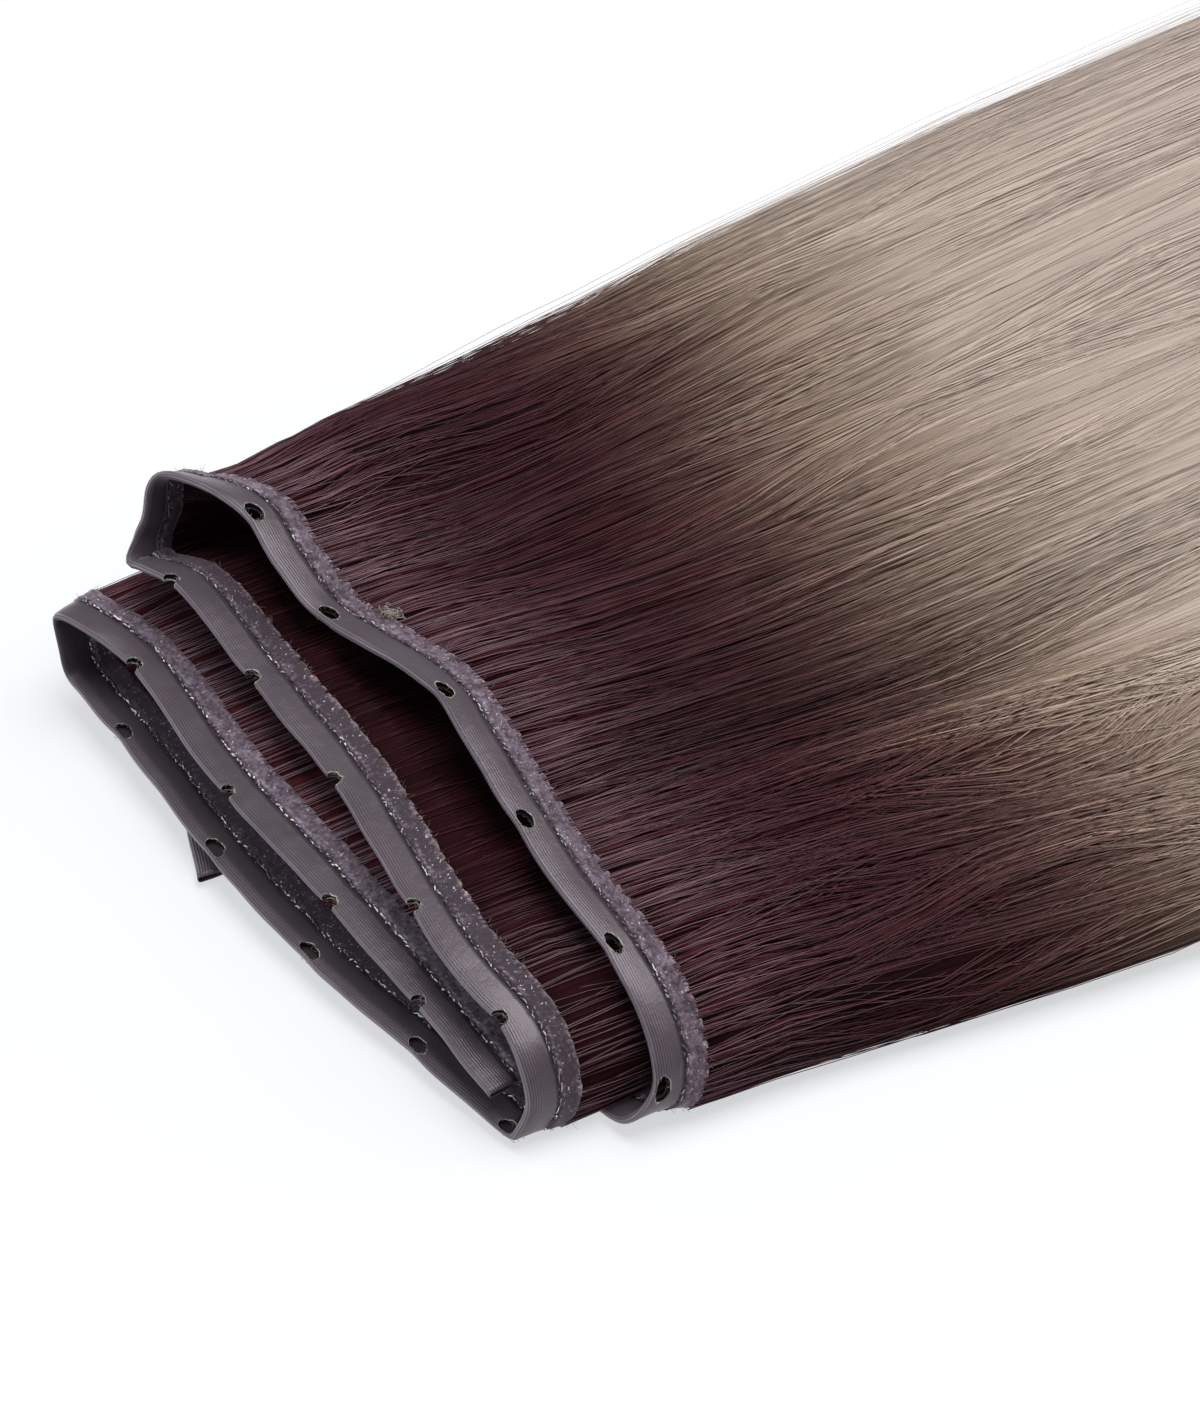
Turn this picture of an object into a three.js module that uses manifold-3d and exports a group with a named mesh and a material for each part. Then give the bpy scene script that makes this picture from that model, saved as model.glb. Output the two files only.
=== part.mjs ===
// Butterfly weft hair extension, folded back and forth and lying on a table.
// Millimetres, +Z up. The hair runs along +Y, the passes of the weft along X.
// The origin is on the flat underside of the bottom pass of the tape.
import * as THREE from 'three';
import { mergeVertices } from 'three/addons/utils/BufferGeometryUtils.js';
import Module from 'manifold-3d';

// Sewing tape: a ribbon folded double, with holes punched through the fold
const tapeWidth = 3.3;
const tapeThickness = 1.4;
const foldEdgeThickness = 0.6;
const foldEdgeDepth = 0.5;
const holePitch = 15.4;
const holeDiameter = 2.5;
const holeInset = 0.55;
const holeSides = 12;
const tapeLook = { color: 0x5a5560, roughness: 0.45 };

// Stitched band that holds the roots of the hair
const seamWidth = 1.8;
const seamThickness = 1.4;
const seamBevel = 0.35;
const seamLook = { color: 0x6a6070, roughness: 0.9 };

const pieceGap = 0.3;

// Hair
const hairLength = 350;
const hairRootThickness = 1.0;
const hairLayerPitch = 1.8;
const hairLowestLayer = 0.4;
const hairFloorClearance = 0.1;
const hairDrift = -10;
const hairWidening = 0.51;
const lockRelief = 0.4;
const lockLengthStep = 9;
const hairLook = { color: 0x6b5a52, roughness: 0.4 };

// Steps between two rows of the path
const stepsPerRow = 2;
const lengthStepsPerRow = 20;

// The path of the tape's free edge, a row for each bend, from one cut end to the other.
// lift: degrees that the hair side is raised; layer: place of its hair in the pile;
// fill: share of the hair's full thickness, less than 1 only around a tight fold.
const tail = [
  { x: -6.2, y: -13.8, z: 0.9, lift: 14, layer: 1.1 },
  { x: -13, y: -11.4, z: 1.3, lift: 13, layer: 1.1 },
  { x: -22, y: -8.3, z: 2.1, lift: 6, layer: 1 },
  { x: -30, y: -5.8, z: 2.5, lift: 0, layer: 1 },
  { x: -33.6, y: -4.9, z: 2.45, lift: 0, layer: 0.9, fill: 0.45 },
  { x: -34.8, y: -4.6, z: 1.6, lift: 0, layer: 0.5, fill: 0.45 },
];
const bottomPass = [
  { x: -33.6, y: -4.4, z: 0.75, lift: 0, layer: 0.1, fill: 0.45 },
  { x: -29, y: -4.0, z: 0.7, lift: 0, layer: 0 },
  { x: -16, y: -2.8, z: 0.7, lift: 0, layer: 0 },
  { x: -5, y: -2.0, z: 0.7, lift: 0, layer: 0 },
  { x: 8, y: -1.2, z: 0.7, lift: 0, layer: 0 },
  { x: 20, y: 0.2, z: 0.7, lift: 0, layer: 0 },
  { x: 31, y: 2.0, z: 0.7, lift: 0, layer: 0 },
  { x: 37.5, y: 2.9, z: 0.7, lift: 4, layer: 0, fill: 0.6 },
];
const topPass = [
  { x: 41.4, y: 3.5, z: 1.7, lift: 11, layer: 0.2, fill: 0.6 },
  { x: 42.7, y: 4.6, z: 3.6, lift: 10, layer: 1 },
  { x: 42.6, y: 5.8, z: 6, lift: 5, layer: 2.5 },
  { x: 41.2, y: 6.5, z: 8.4, lift: 3, layer: 3.8 },
  { x: 37, y: 7.0, z: 11.6, lift: 4, layer: 4.8 },
  { x: 31, y: 6.8, z: 14, lift: 8, layer: 5 },
  { x: 23, y: 6.7, z: 15.8, lift: 10, layer: 5 },
  { x: 13.5, y: 6.9, z: 17.7, lift: 10, layer: 5 },
  { x: 6, y: 7.2, z: 19, lift: 10, layer: 5 },
  { x: -0.3, y: 7.5, z: 19.5, lift: 10, layer: 5 },
  { x: -8.4, y: 5.7, z: 19, lift: 14, layer: 5 },
  { x: -14.5, y: 3.8, z: 19, lift: 16, layer: 5 },
  { x: -20.7, y: 3.2, z: 20.8, lift: 14, layer: 5 },
  { x: -26.4, y: 3.3, z: 22.5, lift: 10, layer: 5 },
  { x: -30, y: 2.3, z: 22.9, lift: 4, layer: 5 },
  { x: -33, y: 0.5, z: 23, lift: 0, layer: 5, fill: 0.45 },
];
const secondPass = [
  { x: -35.2, y: -1.1, z: 22, lift: 0, layer: 4.85, fill: 0.45 },
  { x: -35.9, y: -2.6, z: 19.8, lift: 0, layer: 4.5, fill: 0.45 },
  { x: -35.2, y: -3.8, z: 17.6, lift: 0, layer: 4.15, fill: 0.45 },
  { x: -32.4, y: -4.3, z: 16.8, lift: 2, layer: 4, fill: 0.45 },
  { x: -28.1, y: -3.9, z: 16.5, lift: 6, layer: 4 },
  { x: -14, y: -3.4, z: 14.6, lift: 8, layer: 4 },
  { x: 0.6, y: -3.0, z: 13.4, lift: 8, layer: 4 },
  { x: 17.9, y: -4.6, z: 12.2, lift: 8, layer: 4 },
  { x: 25.2, y: -4.9, z: 11.6, lift: 6, layer: 4 },
  { x: 32.4, y: -4.0, z: 10.4, lift: 3, layer: 4 },
  { x: 35, y: -4.1, z: 8, lift: 0, layer: 4 },
  { x: 36.4, y: -4.3, z: 5, lift: 0, layer: 3.5 },
  { x: 37.3, y: -4.5, z: 3.0, lift: 0, layer: 2.7 },
];
const frontPass = [
  { x: 36.5, y: -4.8, z: 1.8, lift: 24, layer: 2 },
  { x: 33, y: -6.2, z: 1.9, lift: 20, layer: 2 },
  { x: 23.6, y: -8.8, z: 2.2, lift: 10, layer: 2 },
  { x: 10, y: -11.2, z: 2.5, lift: 6, layer: 2 },
  { x: -7, y: -12.5, z: 3.3, lift: 6, layer: 2 },
  { x: -20, y: -12.4, z: 3.5, lift: 6, layer: 2 },
  { x: -31, y: -12.8, z: 3.9, lift: 3, layer: 2 },
  { x: -34.3, y: -12.9, z: 4.4, lift: 0, layer: 2, fill: 0.45 },
];
const thirdPass = [
  { x: -36.2, y: -13, z: 7, lift: 0, layer: 2.3, fill: 0.35 },
  { x: -36.3, y: -12.9, z: 9.2, lift: 0, layer: 2.7, fill: 0.35 },
  { x: -34.8, y: -12.1, z: 10.7, lift: 0, layer: 3, fill: 0.45 },
  { x: -32.4, y: -11.2, z: 10.9, lift: 2, layer: 3 },
  { x: -29, y: -10, z: 10.3, lift: 4, layer: 3 },
  { x: -24.5, y: -9.6, z: 9.8, lift: 5, layer: 3 },
  { x: -10, y: -10, z: 8.8, lift: 5, layer: 3 },
  { x: 5, y: -8.8, z: 8, lift: 5, layer: 3 },
  { x: 19.4, y: -7.6, z: 6.7, lift: 5, layer: 3 },
  { x: 30, y: -6.7, z: 5.9, lift: 3, layer: 3 },
  { x: 34.4, y: -6.4, z: 5.5, lift: 2, layer: 3 },
];
const pathRows = [...tail, ...bottomPass, ...topPass, ...secondPass, ...frontPass, ...thirdPass];

// Runs of holes: first is the distance of a run's first hole from the first row of its pass
const holeRuns = [
  { pass: tail, first: 10, count: 2 },
  { pass: bottomPass, first: 11, count: 5 },
  { pass: topPass, first: 3.2, count: 6 },
  { pass: secondPass, first: 13.3, count: 5 },
  { pass: frontPass, first: -3, count: 6 },
  { pass: thirdPass, first: 16.8, count: 4 },
];

// How the hair falls, a row for each station away from the roots.
// spread: part of the full fan; settle: part of the fall from root to pile; thick: layer thickness.
const hairFlow = [
  { along: 0, spread: 0, settle: 0, thick: hairRootThickness },
  { along: 6, spread: 0.02, settle: 0.1, thick: 1.0 },
  { along: 15, spread: 0.1, settle: 0.38, thick: 1.05 },
  { along: 27, spread: 0.28, settle: 0.68, thick: 1.05 },
  { along: 42, spread: 0.48, settle: 0.9, thick: 1.05 },
  { along: 65, spread: 0.7, settle: 1, thick: 1.05 },
  { along: 105, spread: 0.88, settle: 1, thick: 1.05 },
  { along: 180, spread: 1.06, settle: 1, thick: 1.0 },
  { along: 280, spread: 1.1, settle: 1, thick: 0.9 },
  { along: hairLength, spread: 1.06, settle: 1, thick: 0.3 },
];

const wasm = await Module();
wasm.setup();

// Places along the path with their directions: along the weft, towards the hair, and out of its face
function weftFrames() {
  const points = pathRows.map((row) => new THREE.Vector3(row.x, row.y, row.z));
  const curve = new THREE.CatmullRomCurve3(points, false, 'centripetal');
  const intervals = pathRows.length - 1;
  curve.arcLengthDivisions = intervals * lengthStepsPerRow;
  const frames = [];
  for (let step = 0; step <= intervals * stepsPerRow; step += 1) {
    frames.push(frameAt(curve, step / (intervals * stepsPerRow)));
  }
  return { curve, frames };
}

function frameAt(curve, t) {
  const intervals = pathRows.length - 1;
  const place = Math.min(t * intervals, intervals);
  const row = Math.min(Math.floor(place), intervals - 1);
  const blend = place - row;
  const lift = THREE.MathUtils.lerp(pathRows[row].lift, pathRows[row + 1].lift, blend);
  const layer = THREE.MathUtils.lerp(pathRows[row].layer, pathRows[row + 1].layer, blend);
  const fill = THREE.MathUtils.lerp(pathRows[row].fill ?? 1, pathRows[row + 1].fill ?? 1, blend);
  const tilt = THREE.MathUtils.degToRad(lift);
  const edge = curve.getPoint(t);
  edge.z = Math.max(edge.z, tapeThickness / 2);
  const forward = curve.getTangent(t);
  const across = new THREE.Vector3(0, Math.cos(tilt), Math.sin(tilt));
  across.addScaledVector(forward, -across.dot(forward)).normalize();
  const face = new THREE.Vector3().crossVectors(forward, across);
  return { edge, across, face, layer, fill };
}

function pointOn(frame, reach, height) {
  return frame.edge.clone().addScaledVector(frame.across, reach).addScaledVector(frame.face, height);
}

// Joins closed rings of points into one closed solid; caps lists each end's triangles by ring index
function solidFromRings(rings, caps) {
  const count = rings[0].length;
  const positions = rings.flat().flatMap((point) => point.toArray());
  const triangles = [];
  for (let ring = 0; ring + 1 < rings.length; ring += 1) {
    for (let k = 0; k < count; k += 1) {
      const a = ring * count + k;
      const b = ring * count + ((k + 1) % count);
      triangles.push(a, b, a + count, b, b + count, a + count);
    }
  }
  const last = (rings.length - 1) * count;
  for (const [a, b, c] of caps) {
    triangles.push(a, c, b, last + a, last + b, last + c);
  }
  const geometry = new THREE.BufferGeometry();
  geometry.setAttribute('position', new THREE.Float32BufferAttribute(positions, 3));
  geometry.setIndex(triangles);
  return geometry;
}

function fanCaps(count) {
  return Array.from({ length: count - 2 }, (_, k) => [0, k + 1, k + 2]);
}

// Sweeps a section, given as [reach, height] points, along the weft
function sweepSection(frames, section) {
  const rings = frames.map((frame) => section.map(([reach, height]) => pointOn(frame, reach, height)));
  return solidFromRings(rings, fanCaps(section.length));
}

function toSolid(geometry) {
  const bare = geometry.clone();
  bare.deleteAttribute('normal');
  bare.deleteAttribute('uv');
  const merged = mergeVertices(bare);
  const vertProperties = new Float32Array(merged.attributes.position.array);
  const triVerts = new Uint32Array(merged.index.array);
  return new wasm.Manifold(new wasm.Mesh({ numProp: 3, vertProperties, triVerts }));
}

function toGeometry(solid) {
  const mesh = solid.getMesh();
  const geometry = new THREE.BufferGeometry();
  geometry.setAttribute('position', new THREE.Float32BufferAttribute(mesh.vertProperties, 3));
  geometry.setIndex(Array.from(mesh.triVerts));
  return geometry;
}

function paint(name, geometry, look) {
  geometry.computeVertexNormals();
  const mesh = new THREE.Mesh(geometry, new THREE.MeshStandardMaterial({ ...look, metalness: 0 }));
  mesh.name = name;
  return mesh;
}

function distanceToRow(curve, row) {
  return curve.getLengths()[row * lengthStepsPerRow];
}

function holeCutter(curve, distance) {
  const frame = frameAt(curve, curve.getUtoTmapping(0, distance));
  const geometry = new THREE.CylinderGeometry(
    holeDiameter / 2, holeDiameter / 2, tapeThickness * 2, holeSides,
  );
  const side = new THREE.Vector3().crossVectors(frame.across, frame.face);
  const turn = new THREE.Matrix4().makeBasis(frame.across, frame.face, side);
  turn.setPosition(pointOn(frame, holeInset, 0));
  return toSolid(geometry.applyMatrix4(turn));
}

function sewingTape(curve, frames) {
  const half = tapeThickness / 2;
  const nose = foldEdgeThickness / 2;
  const section = [
    [0, -nose], [foldEdgeDepth, -half], [tapeWidth, -half],
    [tapeWidth, half], [foldEdgeDepth, half], [0, nose],
  ];
  let tape = toSolid(sweepSection(frames, section));
  for (const run of holeRuns) {
    const start = distanceToRow(curve, pathRows.indexOf(run.pass[0]));
    for (let hole = 0; hole < run.count; hole += 1) {
      tape = tape.subtract(holeCutter(curve, start + run.first + hole * holePitch));
    }
  }
  return paint('sewing_tape', toGeometry(tape), tapeLook);
}

function weftSeam(frames) {
  const half = seamThickness / 2;
  const front = tapeWidth + pieceGap;
  const back = front + seamWidth;
  const section = [
    [front, -half + seamBevel], [front + seamBevel, -half],
    [back - seamBevel, -half], [back, -half + seamBevel],
    [back, half - seamBevel], [back - seamBevel, half],
    [front + seamBevel, half], [front, half - seamBevel],
  ];
  return paint('weft_seam', sweepSection(frames, section), seamLook);
}

// Middle surface of the hair: each pass fans out along +Y and settles into its layer of the pile
function hairPoint(frame, flow, lockShift) {
  const root = pointOn(frame, tapeWidth + seamWidth + 2 * pieceGap, 0);
  const settled = hairFloorClearance + hairLayerPitch * (frame.layer + hairLowestLayer);
  const fan = hairDrift + hairWidening * frame.edge.x;
  const shift = lockShift * (flow.along / hairLength) ** 2;
  const lowest = hairFloorClearance + (flow.thick / 2) * (1 + lockRelief);
  return new THREE.Vector3(
    THREE.MathUtils.lerp(root.x, frame.edge.x, flow.settle) + flow.spread * fan,
    root.y + flow.along + shift,
    Math.max(THREE.MathUtils.lerp(root.z, settled, flow.settle), lowest),
  );
}

function hairLocks(frames) {
  const grid = frames.map((frame, i) => {
    const lockShift = i % 2 === 0 ? lockLengthStep : -lockLengthStep;
    return hairFlow.map((flow) => hairPoint(frame, flow, lockShift));
  });
  const lastFrame = frames.length - 1;
  const lastFlow = hairFlow.length - 1;
  const rings = frames.map((frame, i) => {
    const over = [];
    const under = [];
    hairFlow.forEach((flow, j) => {
      const alongWeft = grid[Math.min(i + 1, lastFrame)][j].clone().sub(grid[Math.max(i - 1, 0)][j]);
      const alongHair = grid[i][Math.min(j + 1, lastFlow)].clone().sub(grid[i][Math.max(j - 1, 0)]);
      const face = alongWeft.cross(alongHair).normalize();
      const ridge = i % 2 === 0 ? lockRelief : -lockRelief;
      const half = (flow.thick / 2) * (1 + (j > 0 ? ridge : 0)) * frame.fill;
      over.push(grid[i][j].clone().addScaledVector(face, half));
      under.push(grid[i][j].clone().addScaledVector(face, -half));
    });
    return [...under, ...over.reverse()];
  });
  const count = rings[0].length;
  const caps = [];
  for (let j = 0; j < lastFlow; j += 1) {
    caps.push([j, j + 1, count - 1 - j], [j + 1, count - 2 - j, count - 1 - j]);
  }
  return paint('hair', solidFromRings(rings, caps), hairLook);
}

const { curve, frames } = weftFrames();
const weft = new THREE.Group();
weft.add(sewingTape(curve, frames), weftSeam(frames), hairLocks(frames));

export default weft;
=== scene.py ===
import bpy
import numpy as np
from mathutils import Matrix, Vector


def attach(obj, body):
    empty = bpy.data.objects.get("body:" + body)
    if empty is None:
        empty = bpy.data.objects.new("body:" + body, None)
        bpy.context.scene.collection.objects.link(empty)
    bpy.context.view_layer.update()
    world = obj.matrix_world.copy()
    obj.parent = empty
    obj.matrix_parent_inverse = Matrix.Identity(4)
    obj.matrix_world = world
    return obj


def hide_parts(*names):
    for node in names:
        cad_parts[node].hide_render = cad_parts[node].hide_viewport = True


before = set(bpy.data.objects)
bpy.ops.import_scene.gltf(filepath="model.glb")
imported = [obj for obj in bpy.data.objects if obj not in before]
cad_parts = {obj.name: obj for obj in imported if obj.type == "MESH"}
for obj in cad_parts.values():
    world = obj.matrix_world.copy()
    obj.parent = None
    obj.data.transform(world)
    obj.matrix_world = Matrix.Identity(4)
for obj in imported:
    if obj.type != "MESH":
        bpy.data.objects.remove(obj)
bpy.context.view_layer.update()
mm = 0.001
print("frame loaded:", sorted(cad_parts))

# Camera at the photograph's angle, places in mm
cameraSet = {
    "place": (342.437, -179.757, 368.022),
    "target": (-7.9125, 30.754, 0.0),
    "lens": 144.7,
    "sensor": 36.0,
}


def aimAt(item, place, target):
    item.location = place
    item.rotation_euler = (Vector(target) - Vector(place)).to_track_quat("-Z", "Y").to_euler()
    bpy.context.scene.collection.objects.link(item)


def addCamera():
    lens = bpy.data.cameras.new("photo_camera")
    lens.lens = cameraSet["lens"]
    lens.sensor_width = cameraSet["sensor"]
    lens.clip_start = 0.01
    lens.clip_end = 50.0
    camera = bpy.data.objects.new("photo_camera", lens)
    aimAt(camera, Vector(cameraSet["place"]) * mm, Vector(cameraSet["target"]) * mm)
    bpy.context.scene.camera = camera


addCamera()
print("camera placed")

# The path of the tape's free edge in mm, a row for each bend, from one cut end to the other
# columns: x, y, z, lift of the hair side in degrees, layer in the pile, fill of the hair,
# and at the left folds the turn of the hair side to the left in degrees
weftPath = {
    "tail": (
        (-6.2, -13.8, 0.9, 14, 1.1, 1),
        (-13, -11.4, 1.3, 13, 1.1, 1),
        (-22, -8.3, 2.1, 6, 1, 1),
        (-30, -5.8, 2.5, 0, 1, 1),
        (-33.6, -4.9, 2.45, 0, 0.9, 0.45),
        (-34.8, -4.6, 1.6, 0, 0.5, 0.45),
    ),
    "bottom": (
        (-33.6, -4.4, 0.55, 0, 0.1, 0.45),
        (-29, -4, 0.48, 0, 0, 1),
        (-16, -2.8, 0.48, 0, 0, 1),
        (-5, -2, 0.48, 0, 0, 1),
        (8, -1.2, 0.48, 0, 0, 1),
        (20, 0.2, 0.48, 0, 0, 1),
        (31, 2, 0.48, 0, 0, 1),
        (37.5, 2.9, 0.6, 4, 0, 0.6),
    ),
    "top": (
        (41.4, 3.5, 1.7, 11, 0.2, 0.6),
        (42.7, 4.6, 3.6, 10, 1, 1),
        (42.6, 5.8, 6, 5, 2.5, 1),
        (41.2, 6.5, 8.4, 3, 3.8, 1),
        (37, 7, 11.6, 0, 4.8, 1),
        (31, 6.8, 14, -5, 5, 1),
        (23, 6.5, 15.8, -8, 5, 1),
        (13.5, 6.9, 17.7, -9, 5, 1),
        (6, 7.4, 19, -9, 5, 1),
        (-0.3, 7.6, 19.5, -9, 5, 1),
        (-8.4, 5.8, 19, -8, 5, 1),
        (-14.5, 3.9, 19, -6, 5, 1),
        (-20.7, 3.2, 20.9, -7, 5, 1),
        (-26.4, 3.3, 22.8, -12, 5, 1),
        (-30, 2.3, 23.6, -22, 5, 1, 4),
        (-33.4, 0.5, 23.8, -32, 5, 0.45, 10),
        (-35.6, -0.7, 23.3, -32, 5, 0.45, 20),
    ),
    "second": (
        (-36.3, -1.3, 22.6, -34, 4.85, 0.45, 24),
        (-36.5, -1.9, 21.4, -16, 4.7, 0.45, 26),
        (-36.2, -2.8, 18.1, 0, 4.15, 0.45, 20),
        (-35.9, -3.9, 16.7, -5, 4, 0.45, 12),
        (-34.4, -5.6, 15.7, -16, 4, 0.45, 7),
        (-32.8, -5, 15.9, -20, 4, 0.45, 4),
        (-28.1, -3.9, 16.5, -8, 4, 1),
        (-14, -3.4, 14.6, 5, 4, 1),
        (0.6, -3, 13.4, 8, 4, 1),
        (17.9, -4.6, 12.2, 8, 4, 1),
        (25.2, -4.9, 11.6, 6, 4, 1),
        (32.4, -4, 10.4, 3, 4, 1),
        (36.3, -4.1, 8.5, 0, 4, 1),
        (38.4, -4.5, 5.2, 0, 3.5, 1),
        (38.2, -5.6, 2.1, 0, 2.7, 1),
    ),
    "front": (
        (37.5, -5.9, 1, 24, 2, 1),
        (33.8, -6.9, 1.4, 20, 2, 1),
        (23.6, -8.8, 2.2, 10, 2, 1),
        (10, -11.2, 2.5, 6, 2, 1),
        (-7, -12.5, 3.3, 6, 2, 1),
        (-20, -12.4, 3.5, 6, 2, 1),
        (-31, -12.8, 3.9, 3, 2, 1),
        (-34.3, -12.9, 4.4, 0, 2, 0.45),
    ),
    "third": (
        (-35.6, -12.9, 7, 0, 2.3, 0.35),
        (-36.7, -12.9, 9.4, 0, 2.7, 0.35),
        (-36.7, -12.8, 10.1, -4, 2.8, 0.35, 16),
        (-35.6, -12.4, 10.8, -10, 3, 0.45, 26),
        (-32.4, -11.2, 10.9, -10, 3, 1, 24),
        (-29, -10, 10.3, -8, 3, 1, 16),
        (-24.5, -9.6, 9.8, -3, 3, 1, 5),
        (-10, -10, 8.8, 5, 3, 1),
        (5, -8.8, 8, 5, 3, 1),
        (19.4, -7.6, 6.7, 5, 3, 1),
        (30, -6.9, 5.6, 3, 3, 1),
        (35.2, -6.6, 4.8, 2, 3, 1),
    ),
}
weftRows = np.array([(*row, 0)[:7] for rows in weftPath.values() for row in rows], float)
firstRow = dict(zip(weftPath, np.cumsum([0] + [len(rows) for rows in weftPath.values()])))
halfTape = 0.48  # mm, the lowest height of the tape's middle
foldX = -31.0  # mm, the left folds lie left of this


def unit(vectors):
    return vectors / np.maximum(np.linalg.norm(vectors, axis=-1, keepdims=True), 1e-9)


def smoothStep(value):
    clipped = np.clip(value, 0, 1)
    return clipped * clipped * (3 - 2 * clipped)


# Places along the path: edge point, direction to the hair, outward face, layer and fill
def rowFrames(place):
    row = np.clip(place.astype(int), 0, len(weftRows) - 2)
    blend = (place - row)[:, None]
    spots = weftRows[:, :3]
    spots = np.vstack([2 * spots[0] - spots[1], spots, 2 * spots[-1] - spots[-2]])
    p0, p1, p2, p3 = (spots[row + k] for k in range(4))
    d0, d1, d2 = (
        np.sqrt(np.linalg.norm(b - a, axis=1, keepdims=True))
        for a, b in ((p0, p1), (p1, p2), (p2, p3))
    )
    leave = ((p1 - p0) / d0 - (p2 - p0) / (d0 + d1) + (p2 - p1) / d1) * d1
    arrive = ((p2 - p1) / d1 - (p3 - p1) / (d1 + d2) + (p3 - p2) / d2) * d1
    square = 3 * (p2 - p1) - 2 * leave - arrive
    cube = 2 * (p1 - p2) + leave + arrive
    edge = p1 + blend * (leave + blend * (square + blend * cube))
    edge[:, 2] = np.maximum(edge[:, 2], halfTape)
    forward = unit(leave + blend * (2 * square + 3 * blend * cube))
    lift, layer, fill, turn = (weftRows[row, 3:] * (1 - blend) + weftRows[row + 1, 3:] * blend).T
    tilt, turn = np.radians(lift), np.radians(turn)
    across = np.stack([-np.sin(turn) * np.cos(tilt), np.cos(turn) * np.cos(tilt), np.sin(tilt)], 1)
    across = unit(across - forward * np.sum(across * forward, 1, keepdims=True))
    return {
        "edge": edge,
        "across": across,
        "face": np.cross(forward, across),
        "layer": layer,
        "fill": fill,
    }


measurePlaces = np.linspace(0, len(weftRows) - 1, (len(weftRows) - 1) * 20 + 1)
measureSteps = np.linalg.norm(np.diff(rowFrames(measurePlaces)["edge"], axis=0), axis=1)
measureLengths = np.concatenate([[0], np.cumsum(measureSteps)])
weftLength = measureLengths[-1]


def framesAt(distance):
    return rowFrames(np.interp(distance, measureLengths, measurePlaces))


def passStart(name):
    row = firstRow[name]
    return np.interp(row, measurePlaces, measureLengths)


def passSpan(name):
    row = firstRow[name] + len(weftPath[name])
    return passStart(name), np.interp(min(row, len(weftRows) - 1), measurePlaces, measureLengths)


def passValues(distance, perPass):
    starts = [passStart(name) for name in weftPath]
    values = np.array([perPass.get(name, 1.0) for name in weftPath])
    return values[np.searchsorted(starts, distance, side="right") - 1]


def pointsOn(frames, reach, height):
    return frames["edge"] + frames["across"] * reach[..., None] + frames["face"] * height[..., None]


print(f"weft path measured: {weftLength:.1f} mm")


# Materials: small helpers for node trees
def plug(look, socket, value):
    if isinstance(value, bpy.types.NodeSocket):
        look.node_tree.links.new(value, socket)
    else:
        socket.default_value = value


def addNode(look, kind, inputs, **settings):
    node = look.node_tree.nodes.new(kind)
    for key, value in settings.items():
        setattr(node, key, value)
    for key, value in inputs.items():
        plug(look, node.inputs[key], value)
    return node


def readAttribute(look, name):
    return addNode(look, "ShaderNodeAttribute", {}, attribute_name=name).outputs["Fac"]


def calc(look, operation, *values):
    node = addNode(look, "ShaderNodeMath", {}, operation=operation)
    for socket, value in zip(node.inputs, values):
        plug(look, socket, value)
    return node.outputs["Value"]


def mixColours(look, share, first, second, kind="MIX"):
    node = addNode(look, "ShaderNodeMix", {}, data_type="RGBA", blend_type=kind)
    plug(look, node.inputs["Factor"], share)
    plug(look, node.inputs["A"], first if isinstance(first, bpy.types.NodeSocket) else (*first, 1))
    plug(look, node.inputs["B"], second if isinstance(second, bpy.types.NodeSocket) else (*second, 1))
    return node.outputs["Result"]


def colourRamp(look, share, stops):
    node = addNode(look, "ShaderNodeValToRGB", {"Fac": share})
    ramp = node.color_ramp
    while len(ramp.elements) < len(stops):
        ramp.elements.new(1.0)
    for element, (position, colour) in zip(ramp.elements, stops):
        element.position = position
        element.color = (*colour, 1)
    return node.outputs["Color"]


def noise(look, coordinates, scale, detail=3.0, roughness=0.6):
    inputs = {"Vector": coordinates, "Scale": scale, "Detail": detail, "Roughness": roughness}
    return addNode(look, "ShaderNodeTexNoise", inputs).outputs["Fac"]


def cells(look, coordinates, scale):
    inputs = {"Vector": coordinates, "Scale": scale}
    return addNode(look, "ShaderNodeTexVoronoi", inputs).outputs["Distance"]


def ranged(look, value, low, high, atLow, atHigh):
    inputs = {"Value": value, "From Min": low, "From Max": high, "To Min": atLow, "To Max": atHigh}
    return addNode(look, "ShaderNodeMapRange", inputs).outputs["Result"]


def objectPlace(look):
    return addNode(look, "ShaderNodeTexCoord", {}).outputs["Object"]


def startLook(name, roughness):
    look = bpy.data.materials.new(name)
    look.use_nodes = True
    look.node_tree.nodes.clear()
    shader = addNode(look, "ShaderNodeBsdfPrincipled", {"Roughness": roughness})
    addNode(look, "ShaderNodeOutputMaterial", {"Surface": shader.outputs["BSDF"]})
    return look, shader


def addBump(look, shader, height, strength, distance):
    inputs = {"Height": height, "Strength": strength, "Distance": distance * mm}
    bump = addNode(look, "ShaderNodeBump", inputs)
    plug(look, shader.inputs["Normal"], bump.outputs["Normal"])


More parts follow.
